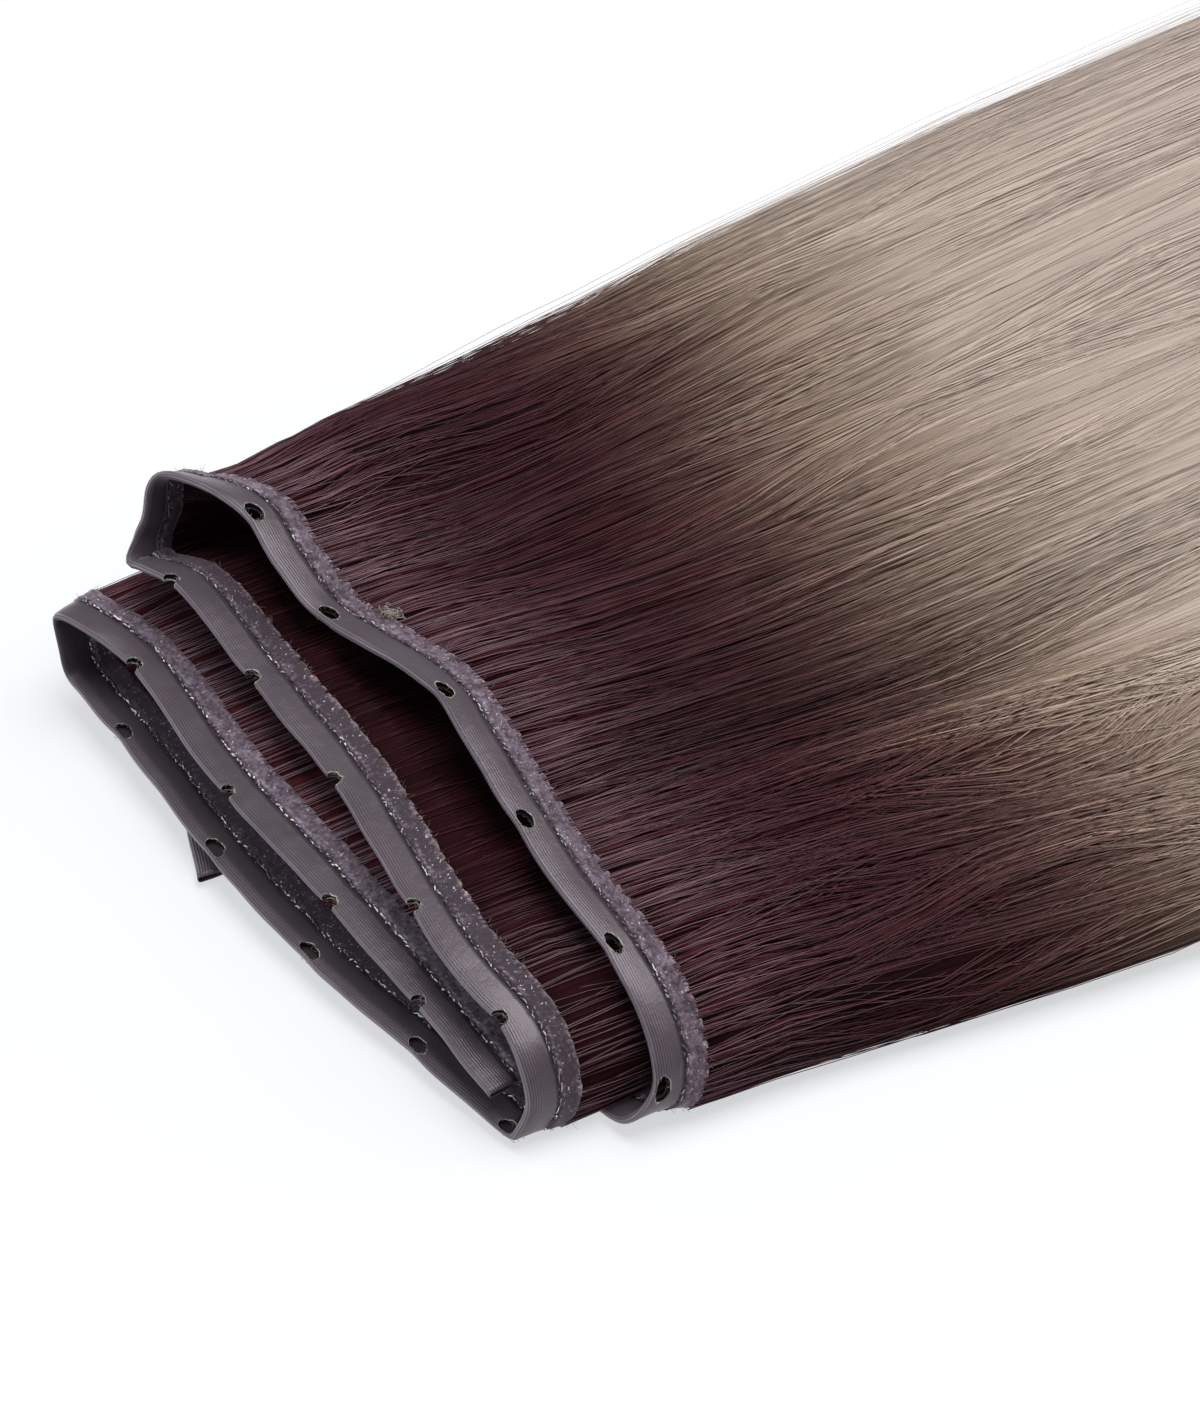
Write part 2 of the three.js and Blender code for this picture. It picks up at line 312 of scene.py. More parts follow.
# Pieces: meshes from arrays in mm
def addPiece(name, points, quads, tris, look, attributes):
    mesh = bpy.data.meshes.new(name)
    corners = np.concatenate([quads.ravel(), tris.ravel()]).astype(np.int32)
    starts = np.concatenate([np.arange(len(quads)) * 4, quads.size + np.arange(len(tris)) * 3])
    mesh.vertices.add(len(points))
    mesh.vertices.foreach_set("co", (points * mm).astype(np.float32).ravel())
    mesh.loops.add(len(corners))
    mesh.loops.foreach_set("vertex_index", corners)
    mesh.polygons.add(len(starts))
    mesh.polygons.foreach_set("loop_start", starts.astype(np.int32))
    mesh.update(calc_edges=True)
    mesh.validate()
    mesh.shade_smooth()
    for key, values in attributes.items():
        kind, field = ("FLOAT_VECTOR", "vector") if values.size == points.size else ("FLOAT", "value")
        store = mesh.attributes.new(key, kind, "POINT")
        store.data.foreach_set(field, np.ascontiguousarray(values, np.float32).ravel())
    mesh.materials.append(look)
    piece = bpy.data.objects.new(name, mesh)
    bpy.context.scene.collection.objects.link(piece)
    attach(piece, "root")
    print(f"{name}: {len(quads) * 2 + len(tris)} triangles")
    return piece


tubeSides = 3
noTris = np.zeros((0, 3), int)
anyTurn = (0, 6.3)  # radians, for random phases


# Triangles that close the end of a tube or band, from the point numbers of its last ring
def endCaps(rings, backward):
    fan = np.arange(1, rings.shape[-1] - 1)
    second, third = (fan + 1, fan) if backward else (fan, fan + 1)
    corners = [rings[..., [0] * len(fan)], rings[..., second], rings[..., third]]
    return np.stack(corners, -1).reshape(-1, 3)


# Closed tubes along many paths at once: paths is strands x stations x 3, radii is strands x stations
def tubes(paths, radii):
    count, stations = radii.shape
    along = unit(np.gradient(paths, axis=1))
    reach = np.abs(paths[:, -1] - paths[:, 0])
    aside = np.eye(3)[np.argmin(reach, axis=1)][:, None, :]
    first = unit(np.cross(along, aside))
    second = np.cross(along, first)
    turn = np.arange(tubeSides) * 2 * np.pi / tubeSides
    ring = first[:, :, None] * np.cos(turn)[:, None] + second[:, :, None] * np.sin(turn)[:, None]
    points = paths[:, :, None] + ring * radii[:, :, None, None]
    index = np.arange(count * stations * tubeSides).reshape(count, stations, tubeSides)
    after = np.roll(index, -1, axis=2)
    quads = np.stack([index[:, :-1], after[:, :-1], after[:, 1:], index[:, 1:]], -1).reshape(-1, 4)
    tris = np.concatenate([endCaps(index[:, 0], True), endCaps(index[:, -1], False)])
    return points.reshape(-1, 3), quads, tris


# Values for each tube, or for each of its stations, repeated for the points of the tubes
def perTubePoint(values, stations):
    columns = values if values.ndim == 2 else values[:, None]
    spread = np.broadcast_to(columns, (len(values), stations))
    return np.repeat(spread[:, :, None], tubeSides, axis=2)


def addTubes(name, paths, radii, look, perTube, normals=None):
    points, quads, tris = tubes(paths, radii)
    marks = {key: perTubePoint(values, radii.shape[1]) for key, values in perTube.items()}
    if normals is not None:
        marks["sheetNormal"] = np.repeat(normals[:, :, None], tubeSides, axis=2)
    addPiece(name, points, quads, tris, look, marks)


# A closed sheet of the given thickness from one layer of quads
def thickSheet(points, quads, thickness, attributes):
    used, packed = np.unique(quads, return_inverse=True)
    points = points[used]
    quads = packed.reshape(-1, 4)
    attributes = {key: values.ravel()[used] for key, values in attributes.items()}
    corner = points[quads]
    faceNormals = np.cross(corner[:, 2] - corner[:, 0], corner[:, 3] - corner[:, 1])
    normals = np.zeros_like(points)
    for k in range(4):
        np.add.at(normals, quads[:, k], faceNormals)
    offset = unit(normals) * thickness / 2
    total = len(points)
    heads = quads.ravel()
    tails = np.roll(quads, -1, axis=1).ravel()
    border = ~np.isin(tails * total + heads, heads * total + tails)
    a, b = heads[border], tails[border]
    rims = np.stack([b, a, a + total, b + total], 1)
    everyQuad = np.concatenate([quads, quads[:, ::-1] + total, rims])
    doubled = {key: np.concatenate([values, values]) for key, values in attributes.items()}
    doubled["inner"] = np.repeat([0.0, 1.0], total)
    return np.concatenate([points + offset, points - offset]), everyQuad, doubled


# Slow smooth noise along one line, made of sines with fixed seeds
def slowNoise(seed, place, length, waves=5):
    dice = np.random.default_rng(seed)
    total = np.zeros_like(place)
    for _ in range(waves):
        waveLength = length * dice.uniform(0.6, 1.8)
        turn = dice.uniform(*anyTurn)
        total = total + np.sin(place * 2 * np.pi / waveLength + turn)
    return total / np.sqrt(waves)


# Sewing tape: a ribbon folded double, with holes punched through the fold
tapeSet = {
    "width": 2.9,  # mm from the fold to the seam
    "halfThick": 0.33,
    "seamHalf": 0.2,  # half thickness beside the seam
    "fullTo": 1.0,  # mm from the fold up to which the ribbon has its full thickness
    "ribbon": 0.1,  # mm, one layer
    "foldDepth": 0.18,
    "foldColumns": 6,
    "lip": 0.04,  # mm of ribbon that stays between a hole and the fold
    "ringStep": 0.6,
    "holeClear": 0.15,  # mm that the plain rings keep away from those of a hole
    "bend": 0.3,  # mm that the fold rises or falls from hole to hole
    "pinch": 0.14,  # mm that the fold draws in at a hole
    "slit": 1.3,  # mm from the fold to the middle of a closed hole
    "pinchReach": 1.7,  # mm along the fold that a pinch takes
    "openAt": 0.6,  # mm, a hole nearer to the fold than this opens at it
    "tear": 0.1,  # mm that the rim of a hole strays
    "puff": 0.1,  # share by which the thickness varies
    "waviness": 0.05,
    "ribPitch": 0.26,
    "ribDepth": 0.4,
    "roughness": 0.34,
    "hiddenRoughness": 0.9,
    "paintedShadeDark": 0.88,
    "sheen": 0.2,
    "sheenRoughness": 0.4,
    "sheenTint": (1.0, 0.93, 0.99),
    "mottleScale": 260.0,
    "tearScale": 1500.0,
    "creaseScale": 700.0,
    "creaseHeight": 7.0,
    "bump": (0.3, 0.035),  # strength, and distance in mm
    "shade": (0.050, 0.037, 0.046),
    "light": (0.122, 0.096, 0.114),
    # dark colour of the rib lines and of the painted shade
    "groove": (0.014, 0.010, 0.014),
    "rim": (0.40, 0.38, 0.29),
    "foldFade": 3.5,  # mm over which the painted shade inside the left folds comes on
    "frontShade": 0.2,  # painted shade: brightness of the front pass away from its fold, in the shade of the passes above
    "frontFade": (0.15, 0.35),  # share of the width where that starts, and that it takes
}
# painted light over the width: a painted highlight along the fold and painted shade towards the seam; share
# of the width from the fold, brightness
paintedShadingAcross = ((0, 1.9), (0.05, 1.5), (0.1, 1), (0.35, 1.1), (0.6, 1), (0.9, 0.9), (0.97, 0.5), (1, 0.3))
# a hole: centre from the fold, half length, half width, share of it in the layer below
throughHole = (0.95, 1.18, 0.76, 1)
blindHole = (0.78, 1.18, 0.76, 0)
bittenHole = (0.3, 0.82, 0.7, 1)
# pass, mm from the pass's first row to each hole, hole
holeRuns = (
    ("tail", (10, 25.4), bittenHole),
    ("bottom", (11, 26.4, 41.8, 57.2), bittenHole),
    ("top", (5.1, 18.8, 34.2, 50.6, 66, 79.5), throughHole),
    ("second", (14.8, 29.7, 44.7, 61.9, 76.6), bittenHole),
    ("front", (0.6, 13.3, 28.8, 44.8, 63), blindHole),
    ("third", (14.2, 33.3, 50.2, 64.4), bittenHole),
)
holePlaces = np.array([passStart(name) + place for name, places, _ in holeRuns for place in places])
holeShapes = np.array([shape[:3] for _, places, shape in holeRuns for _ in places])
holeShapes = holeShapes * np.random.default_rng(4).uniform(0.88, 1.1, holeShapes.shape)
holeBelow = np.array([shape[3] for _, places, shape in holeRuns for _ in places])
farShares = np.array([0, 0.22, 0.44, 0.64, 0.8, 0.91, 1])  # columns from the seam to the hole
nearShares = np.array([0, 0.4, 1])  # columns from the hole to the fold
holeRings = np.array([0, 0.3, 0.55, 0.75, 0.9, 0.97, 1, 1.14, 1.4])  # rings over half a hole's length


def tapeLook():
    look, shader = startLook("satin_tape", tapeSet["roughness"])
    place = objectPlace(look)
    mottle = noise(look, place, tapeSet["mottleScale"])
    colour = mixColours(look, mottle, tapeSet["shade"], tapeSet["light"])
    across = readAttribute(look, "across")
    # painted highlight at the fold and painted shade by the seam
    tone = colourRamp(look, across, [(spot, (grey, grey, grey)) for spot, grey in paintedShadingAcross])
    colour = mixColours(look, 1.0, colour, tone, "MULTIPLY")
    turns = calc(look, "MULTIPLY", readAttribute(look, "rib"), 2 * np.pi / tapeSet["ribPitch"])
    nearFold = ranged(look, across, 0.35, 0.8, 1.0, 0.25)  # the ribs are weaker beside the seam
    wave = calc(look, "MULTIPLY", calc(look, "SINE", turns), nearFold)
    ribs = calc(look, "MULTIPLY_ADD", wave, tapeSet["ribDepth"], tapeSet["ribDepth"])
    # rib lines: partly the ribbon's own ribs, partly painted shade in the rib valleys
    colour = mixColours(look, ribs, colour, tapeSet["groove"])
    # painted shade: the inner faces of the ribbon, the inside of the left folds and the front pass darken
    # towards the dark colour
    shadedShare = calc(look, "MAXIMUM", readAttribute(look, "inner"), readAttribute(look, "paintedShade"))
    shadeStrength = calc(look, "MULTIPLY", shadedShare, tapeSet["paintedShadeDark"])
    colour = mixColours(look, shadeStrength, colour, tapeSet["groove"])
    torn = ranged(look, noise(look, place, tapeSet["tearScale"]), 0.42, 0.58, 0.1, 1.0)
    torn = calc(look, "MULTIPLY", readAttribute(look, "rim"), torn)
    colour = mixColours(look, torn, colour, tapeSet["rim"])
    plug(look, shader.inputs["Base Color"], colour)
    dull = ranged(look, shadedShare, 0.0, 0.8, tapeSet["roughness"], tapeSet["hiddenRoughness"])
    plug(look, shader.inputs["Roughness"], dull)
    shader.inputs["Specular Tint"].default_value = (*tapeSet["sheenTint"], 1)
    shader.inputs["Sheen Weight"].default_value = tapeSet["sheen"]
    shader.inputs["Sheen Roughness"].default_value = tapeSet["sheenRoughness"]
    creases = noise(look, place, tapeSet["creaseScale"])
    creases = calc(look, "MULTIPLY_ADD", creases, tapeSet["creaseHeight"], wave)
    addBump(look, shader, creases, *tapeSet["bump"])
    return look


def tapeRings():
    local = np.concatenate([-holeRings[:0:-1], holeRings])
    plain = np.linspace(0, weftLength, int(weftLength / tapeSet["ringStep"]))
    nearest = holeRings[-1] * holeShapes[:, 1] + tapeSet["holeClear"]
    clear = (np.abs(plain[:, None] - holePlaces) > nearest).all(1)
    rings = (holePlaces[:, None] + local * holeShapes[:, 1:2]).ravel()
    return np.sort(np.concatenate([plain[clear], rings[(rings > 0) & (rings < weftLength)]]))


# half thickness of the folded ribbon at a distance from the fold
def tapeHeight(reach, puff):
    rise = smoothStep((tapeSet["width"] - reach) / (tapeSet["width"] - tapeSet["fullTo"]))
    return tapeSet["seamHalf"] + (tapeSet["halfThick"] * puff - tapeSet["seamHalf"]) * rise


# the nearest hole of each ring
def holeNear(s):
    gaps = np.abs(s[:, None] - holePlaces)
    hole = (gaps / holeShapes[:, 1]).argmin(1)
    centre, halfLong, halfWide = holeShapes[hole].T
    gap = gaps[np.arange(len(s)), hole] / halfLong
    return {
        "gap": gap,  # 0 in the middle of the hole, 1 at its end
        "centre": centre,
        "halfLong": halfLong,
        "halfWide": halfWide,
        "below": holeBelow[hole] > 0,
        "inside": gap < 0.999,
        "atFold": centre < tapeSet["openAt"],
    }


# reach and height of the ribbon from the seam round the fold and back, and the rings that part at a hole
def tapeSection(s, near):
    closing = np.exp(-(np.maximum(near["gap"] - 1, 0) * 2) ** 2)
    middle = tapeSet["slit"] + (near["centre"] - tapeSet["slit"]) * closing
    fray = np.random.default_rng(5).uniform(-tapeSet["tear"], tapeSet["tear"], (4, len(s)))
    puff = 1 + tapeSet["puff"] * slowNoise(11, s, 21)[:, None]
    halves = []
    parted = []
    for side in (0, 1):
        opened = near["inside"] & ((side == 1) | near["below"])
        reachOut = near["halfWide"] * opened * np.sqrt(np.maximum(1 - near["gap"] ** 2, 0))
        far = (middle + reachOut + fray[side] * opened)[:, None]
        lip = middle - reachOut + fray[side + 2] * opened
        lip = np.maximum(lip, tapeSet["foldDepth"] + tapeSet["lip"])[:, None]
        farReach = tapeSet["width"] + (far - tapeSet["width"]) * farShares
        nearReach = lip + (tapeSet["foldDepth"] - lip) * nearShares
        reach = np.concatenate([farReach, nearReach], 1)
        halves.append((reach, tapeHeight(reach, puff)))
        parted.append(opened)
    columns = tapeSet["foldColumns"]
    angle = np.pi / 2 - np.pi * (np.arange(columns) + 1) / (columns + 1)
    foldReach = np.broadcast_to(tapeSet["foldDepth"] * (1 - np.cos(angle)), (len(s), columns))
    foldHeight = tapeSet["halfThick"] * puff * np.sin(angle)
    over, under = halves
    reach = np.concatenate([over[0], foldReach, under[0][:, ::-1]], 1)
    height = np.concatenate([over[1], foldHeight, -under[1][:, ::-1]], 1)
    return reach, height, parted


# torn rims, ribs, share of the width, and the painted shade inside the left folds and on the front pass
def tapeMarks(s, frames, reach, height, near, slits):
    edge = near["gap"] < 1.001
    openEdge = edge & near["atFold"]
    rim = np.zeros(reach.shape)
    for rings, slit in ((edge, slits[1]), (openEdge, slits[0])):
        rim[rings, slit] = 1
        rim[rings, slit + 1] = 1
    rim[openEdge & ~near["inside"], slits[0] : slits[1] + 2] = 0.8
    steps = np.hypot(np.diff(reach, axis=1), np.diff(height, axis=1))
    rib = np.concatenate([np.zeros((len(s), 1)), np.cumsum(steps, 1)], 1)
    across = reach / tapeSet["width"]
    faceX = frames["face"][..., 0] * np.sign(height)
    # painted shade: the inside of the left folds and the front pass away from its fold
    leftward = smoothStep((foldX - frames["edge"][..., 0]) / tapeSet["foldFade"])
    inFolds = np.clip(faceX, 0, 1) * leftward
    inFront = 1 - passValues(s, {"front": tapeSet["frontShade"]})[:, None]
    fadeStart, fadeWidth = tapeSet["frontFade"]
    paintedShade = np.maximum(inFolds, inFront * smoothStep((across - fadeStart) / fadeWidth))
    return {"rim": rim, "rib": rib, "across": across, "paintedShade": paintedShade}


def buildTape():
    s = tapeRings()
    frames = {key: values[:, None] for key, values in framesAt(s).items()}
    near = holeNear(s)
    reach, height, parted = tapeSection(s, near)
    inOrder = np.sort(holePlaces)
    corners = np.random.default_rng(6).uniform(-1, 1, (2, len(inOrder)))
    bend = tapeSet["bend"] * np.interp(s, inOrder, corners[0])
    pinch = np.exp(-(near["gap"] * near["halfLong"] / tapeSet["pinchReach"]) ** 2)
    draw = 0.5 * np.interp(s, inOrder, corners[1]) + pinch
    free = np.clip(1 - reach / tapeSet["width"], 0, 1)
    wave = tapeSet["waviness"] * slowNoise(12, s, 9)[:, None]
    shift = wave + tapeSet["pinch"] * draw[:, None] * free
    points = pointsOn(frames, reach + shift, height + bend[:, None] * free)
    index = np.arange(reach.size).reshape(reach.shape)
    farEnd = len(farShares) - 1
    slits = (farEnd, reach.shape[1] - 2 - farEnd)  # the column pairs that part at a hole
    index[~parted[0], slits[0] + 1] = index[~parted[0], slits[0]]
    index[~parted[1], slits[1]] = index[~parted[1], slits[1] + 1]
    quads = np.stack([index[:-1, :-1], index[:-1, 1:], index[1:, 1:], index[1:, :-1]], -1)
    bitten = near["inside"] & near["atFold"]
    keep = np.ones(quads.shape[:2], bool)
    keep[:, list(slits)] = False
    keep[:, slits[0] + 1 : slits[1]] = ~(bitten[:-1] | bitten[1:])[:, None]
    marks = tapeMarks(s, frames, reach, height, near, slits)
    points, quads, marks = thickSheet(points.reshape(-1, 3), quads[keep], tapeSet["ribbon"], marks)
    piece = addPiece("tape_ribbon", points, quads, noTris, tapeLook(), marks)
    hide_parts("sewing_tape")


buildTape()

hairTuftPitch = 1.78  # mm between the tufts of hair that leave the band

# Stitched band: a beak that the tape folds over, then a flat felted band with a row of knots at each border
bandSet = {
    "ringStep": 0.2,
    "bodyFrom": 3.2,  # mm from the fold, behind the beak
    "grooveTo": 3.35,
    "hairFrom": 5.2,
    "knotPitch": 0.62,
    "knotRows": (3.52, 5.06),
    "knotWidth": 0.2,
    "relief": 0.1,
    "lumps": (0.03, 0.035),  # mm over the reach and the height
    "sway": 0.05,
    "scallop": 0.06,  # mm that the hair border bulges at each tuft
    "toneBlur": 15,  # rings over which the painted shade of one pass turns into the next
    "feltShare": 0.36,
    "knotShare": 0.42,
    "grooveShare": 0.35,
    "hairEdge": 0.9,
    "roughness": 0.85,
    "sheen": 0.3,
    "sheenRoughness": 0.5,
    "fibreScale": 2600.0,
    "patchScale": 900.0,
    "fleckScale": 3400.0,
    "needleScale": 260.0,
    "needleSize": (0.045, 0.085),
    "bump": (0.5, 0.07),  # strength, and distance in mm
    # painted shade: the felt of the second and front passes darker, in the shade of the passes above, and
    # the third pass lighter as painted light; the knots brighter on the second pass and darker on the front
    # pass
    "passFeltShade": {"second": 0.0, "front": 0.0, "third": 1.25},
    "passKnotShade": {"second": 2.0, "front": 0.4},
    "dark": (0.022, 0.011, 0.019),
    "middle": (0.094, 0.066, 0.092),
    "light": (0.225, 0.175, 0.225),
    "edge": (0.30, 0.235, 0.19),
    "fleck": (0.62, 0.60, 0.62),
    "sheenTint": (1.0, 0.78, 0.92),
}
# reach and height of the band's upper half, front to back; the under half mirrors it
bandSection = (
    (2.6, 0.09),
    (3.15, 0.1),
    (3.25, 0.27),
    (3.5, 0.4),
    (3.88, 0.38),
    (4.3, 0.37),
    (4.72, 0.38),
    (5.08, 0.4),
    (5.3, 0.3),
    (5.42, 0.12),
)


def bandLook():
    look, shader = startLook("felted_band", bandSet["roughness"])
    place = objectPlace(look)
    fibre = noise(look, place, bandSet["fibreScale"], 3.0, 0.65)
    patches = noise(look, place, bandSet["patchScale"])
    share = readAttribute(look, "knitAndShade")
    for grain, weight in ((fibre, 1.5), (patches, 1.3)):
        share = calc(look, "ADD", share, calc(look, "MULTIPLY_ADD", grain, weight, -weight / 2))
    stops = ((0.1, bandSet["dark"]), (0.5, bandSet["middle"]), (0.95, bandSet["light"]))
    colour = colourRamp(look, share, stops)
    tufts = ranged(look, patches, 0.4, 0.65, 0.2, 1.0)
    tufted = calc(look, "MULTIPLY", readAttribute(look, "hairEdge"), tufts)
    colour = mixColours(look, tufted, colour, bandSet["edge"])
    fleck = ranged(look, noise(look, place, bandSet["fleckScale"], 1.0), 0.68, 0.74, 0.0, 0.6)
    colour = mixColours(look, fleck, colour, bandSet["fleck"])
    # dark needle pits: painted shade in the pits
    needle = cells(look, place, bandSet["needleScale"])
    needle = ranged(look, needle, *bandSet["needleSize"], 1.0, 0.0)
    colour = mixColours(look, needle, colour, bandSet["dark"])
    plug(look, shader.inputs["Base Color"], colour)
    shader.inputs["Sheen Weight"].default_value = bandSet["sheen"]
    shader.inputs["Sheen Roughness"].default_value = bandSet["sheenRoughness"]
    shader.inputs["Sheen Tint"].default_value = (*bandSet["sheenTint"], 1)
    addBump(look, shader, fibre, *bandSet["bump"])
    return look


def buildBand():
    s = np.linspace(0, weftLength, int(weftLength / bandSet["ringStep"]))
    frames = {key: values[:, None] for key, values in framesAt(s).items()}
    upper = np.array(bandSection)
    section = np.concatenate([upper, (upper * (1, -1))[::-1]])
    reach, height = section.T
    body = (reach > bandSet["bodyFrom"]).astype(float)
    knots = np.zeros((len(s), len(reach)))
    for k, row in enumerate(bandSet["knotRows"]):
        beat = s / bandSet["knotPitch"] + 0.5 * k + 0.25 * slowNoise(21 + k, s, 3)
        strong = np.clip(0.55 + 0.45 * slowNoise(24 + k, s, 5), 0, 1)
        inRow = np.exp(-((reach - row) / bandSet["knotWidth"]) ** 2)
        knots = knots + np.outer(strong * np.abs(np.sin(np.pi * beat)), inRow)
    lumps = np.random.default_rng(22).uniform(-1, 1, (len(s), len(reach)))
    lumpReach, lumpHeight = bandSet["lumps"]
    rise = bandSet["relief"] * (knots - 0.4) + lumpHeight * lumps
    scallop = bandSet["scallop"] * np.cos(2 * np.pi * s / hairTuftPitch)[:, None]
    scallop = scallop * (reach > bandSet["hairFrom"])
    sway = bandSet["sway"] * slowNoise(23, s, 6)[:, None]
    height = height + np.sign(height) * body * rise
    reach = reach + body * (lumpReach * lumps[:, ::-1] + sway + scallop)
    points = pointsOn(frames, reach, height)
    span = points.shape[1]
    index = np.arange(len(s) * span).reshape(-1, span)
    after = np.roll(index, -1, axis=1)
    quads = np.stack([index[:-1], after[:-1], after[1:], index[1:]], -1).reshape(-1, 4)
    tris = np.concatenate([endCaps(index[0], True), endCaps(index[-1], False)])
    blur = bandSet["toneBlur"]
    soften = np.ones(2 * blur + 1) / (2 * blur + 1)
    # the painted shade of each pass, blurred where one pass turns into the next
    felt, thread = (
        np.convolve(np.pad(passValues(s, bandSet[key]), blur, mode="edge"), soften, mode="valid")[:, None]
        for key in ("passFeltShade", "passKnotShade")
    )
    knitAndShade = body * (bandSet["feltShare"] * felt + bandSet["knotShare"] * thread * knots)
    # painted shade: the band darker in the groove beside the tape
    knitAndShade[:, section[:, 0] < bandSet["grooveTo"]] *= bandSet["grooveShare"]
    hairEdge = np.where(section[:, 0] > bandSet["hairFrom"], bandSet["hairEdge"], 0.0)
    marks = {"knitAndShade": knitAndShade, "hairEdge": np.broadcast_to(hairEdge, knitAndShade.shape)}
    piece = addPiece("seam_band", points.reshape(-1, 3), quads, tris, bandLook(), marks)
    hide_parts("weft_seam")


buildBand()

# Bright sewing stitches lengthwise in the groove between tape and band, on both faces
stitchSet = {
    "pitch": 0.46,
    "radius": 0.07,
    "length": (0.18, 0.6),
    "endGap": 0.8,  # mm left bare at the cut ends
    "jitter": 0.2,  # mm along the weft
    "lean": 0.12,
    "reach": (3.0, 0.28),  # mm from the fold: lowest, and more for a raised stitch
    "height": (0.2, 0.16),  # mm from the middle: lowest, and more for a raised stitch
    "arch": 0.09,
    "strandScale": 4200.0,
    "passGleam": {"front": 2.6, "third": 2.0},
    "passRadius": {"front": 1.4, "third": 1.25},
    "roughness": 0.3,
    "dull": (0.075, 0.06, 0.075),
    "bright": (0.82, 0.80, 0.80),
}


def stitchLook():
    look, shader = startLook("stitch_thread", stitchSet["roughness"])
    gleam = readAttribute(look, "gleam")
    strand = noise(look, objectPlace(look), stitchSet["strandScale"], 2.0)
    share = calc(look, "MULTIPLY", gleam, calc(look, "MULTIPLY_ADD", strand, 0.8, 0.6))
    colour = mixColours(look, share, stitchSet["dull"], stitchSet["bright"])
    plug(look, shader.inputs["Base Color"], colour)
    return look


def buildStitches():
    dice = np.random.default_rng(31)
    one = np.arange(stitchSet["endGap"], weftLength - stitchSet["endGap"], stitchSet["pitch"])
    jitter = stitchSet["jitter"]
    s = np.concatenate([one, one]) + dice.uniform(-jitter, jitter, 2 * len(one))
    side = np.repeat([1, -1], len(one))[:, None]
    step = np.linspace(0, 1, 4)
    length = dice.uniform(*stitchSet["length"], len(s))[:, None]
    lean = dice.normal(0, stitchSet["lean"], len(s))[:, None]
    raised = dice.uniform(0, 1, len(s))[:, None]
    lowReach, moreReach = stitchSet["reach"]
    lowHeight, moreHeight = stitchSet["height"]
    reach = lowReach + moreReach * raised + lean * (step - 0.5)
    height = lowHeight + moreHeight * raised + stitchSet["arch"] * np.sin(np.pi * step)
    where = np.clip(s[:, None] + length * (step - 0.5), 0, weftLength)
    frames = framesAt(where.ravel())
    paths = pointsOn(frames, reach.ravel(), (height * side).ravel()).reshape(len(s), -1, 3)
    radii = stitchSet["radius"] * dice.uniform(0.6, 1.25, len(s))[:, None] * np.array([0.6, 1, 1, 0.6])
    radii = radii * passValues(s, stitchSet["passRadius"])[:, None]
    gleam = dice.uniform(0, 1, len(s)) ** 1.6 * np.clip(0.65 + 0.6 * slowNoise(32, s, 6), 0.1, 1.3)
    gleam = gleam * passValues(s, stitchSet["passGleam"])
    addTubes("seam_stitches", paths, radii, stitchLook(), {"gleam": gleam})


buildStitches()

# Loose fibres: fuzz on the band and frayed threads at the hole rims
fuzzSet = {
    "count": 3000,
    "length": (0.15, 0.6),
    "radius": 0.024,
    "stray": 0.6,
    "bend": 0.35,
    "hairShare": 0.45,  # share of the fibres at the border where the hair leaves
    "hairReach": (5.15, 5.4),  # mm from the fold
    "hairHeight": (0.1, 0.4),
    "bandReach": (3.3, 5.2),
    "bandHeight": 0.42,
    "frayPerHole": 30,
    "frayLength": (0.1, 0.36),
    "frayRadius": 0.026,
    "roughness": 0.8,
    "shadeScale": 900.0,
    "grey": (0.14, 0.12, 0.15),
    "pale": (0.46, 0.40, 0.33),
    "dark": (0.05, 0.04, 0.05),
}


def fibreLook(name, shading=1.0):
    look, shader = startLook(name, fuzzSet["roughness"])
    colour = mixColours(look, readAttribute(look, "pale"), fuzzSet["grey"], fuzzSet["pale"])
    patches = noise(look, objectPlace(look), fuzzSet["shadeScale"])
    tint = ranged(look, patches, 0.0, 1.0, 0.0, shading)
    plug(look, shader.inputs["Base Color"], mixColours(look, tint, colour, fuzzSet["dark"]))
    return look


def fibrePaths(start, direction, length, radius, seed):
    dice = np.random.default_rng(seed)
    step = np.array([0, 0.5, 1.0])
    bend = dice.normal(0, fuzzSet["bend"], start.shape)
    paths = start[:, None] + direction[:, None] * (length[:, None] * step)[..., None]
    paths = paths + bend[:, None] * (length[:, None] * step ** 2)[..., None]
    paths[..., 2] = np.maximum(paths[..., 2], 0.05)
    radii = np.broadcast_to(radius * np.array([1, 0.8, 0.25]), (len(start), len(step)))
    return paths, radii


def buildFuzz():
    dice = np.random.default_rng(41)
    count = fuzzSet["count"]
    s = dice.uniform(0, weftLength, count)
    frames = framesAt(s)
    hairSide = dice.uniform(0, 1, count) < fuzzSet["hairShare"]
    side = np.where(dice.uniform(0, 1, count) < 0.5, 1, -1)
    hairReach = dice.uniform(*fuzzSet["hairReach"], count)
    reach = np.where(hairSide, hairReach, dice.uniform(*fuzzSet["bandReach"], count))
    height = dice.uniform(*fuzzSet["hairHeight"], count)
    height = side * np.where(hairSide, height, fuzzSet["bandHeight"])
    start = pointsOn(frames, reach, height)
    out = frames["face"] * side[:, None] + frames["across"] * np.where(hairSide, 1.2, 0.0)[:, None]
    direction = unit(out + dice.normal(0, fuzzSet["stray"], (count, 3)))
    length = dice.uniform(*fuzzSet["length"], count)
    paths, radii = fibrePaths(start, direction, length, fuzzSet["radius"], 42)
    pale = np.where(hairSide, 0.8, 0.25) * dice.uniform(0.3, 1, count)
    addTubes("seam_fuzz", paths, radii, fibreLook("band_fuzz"), {"pale": pale})


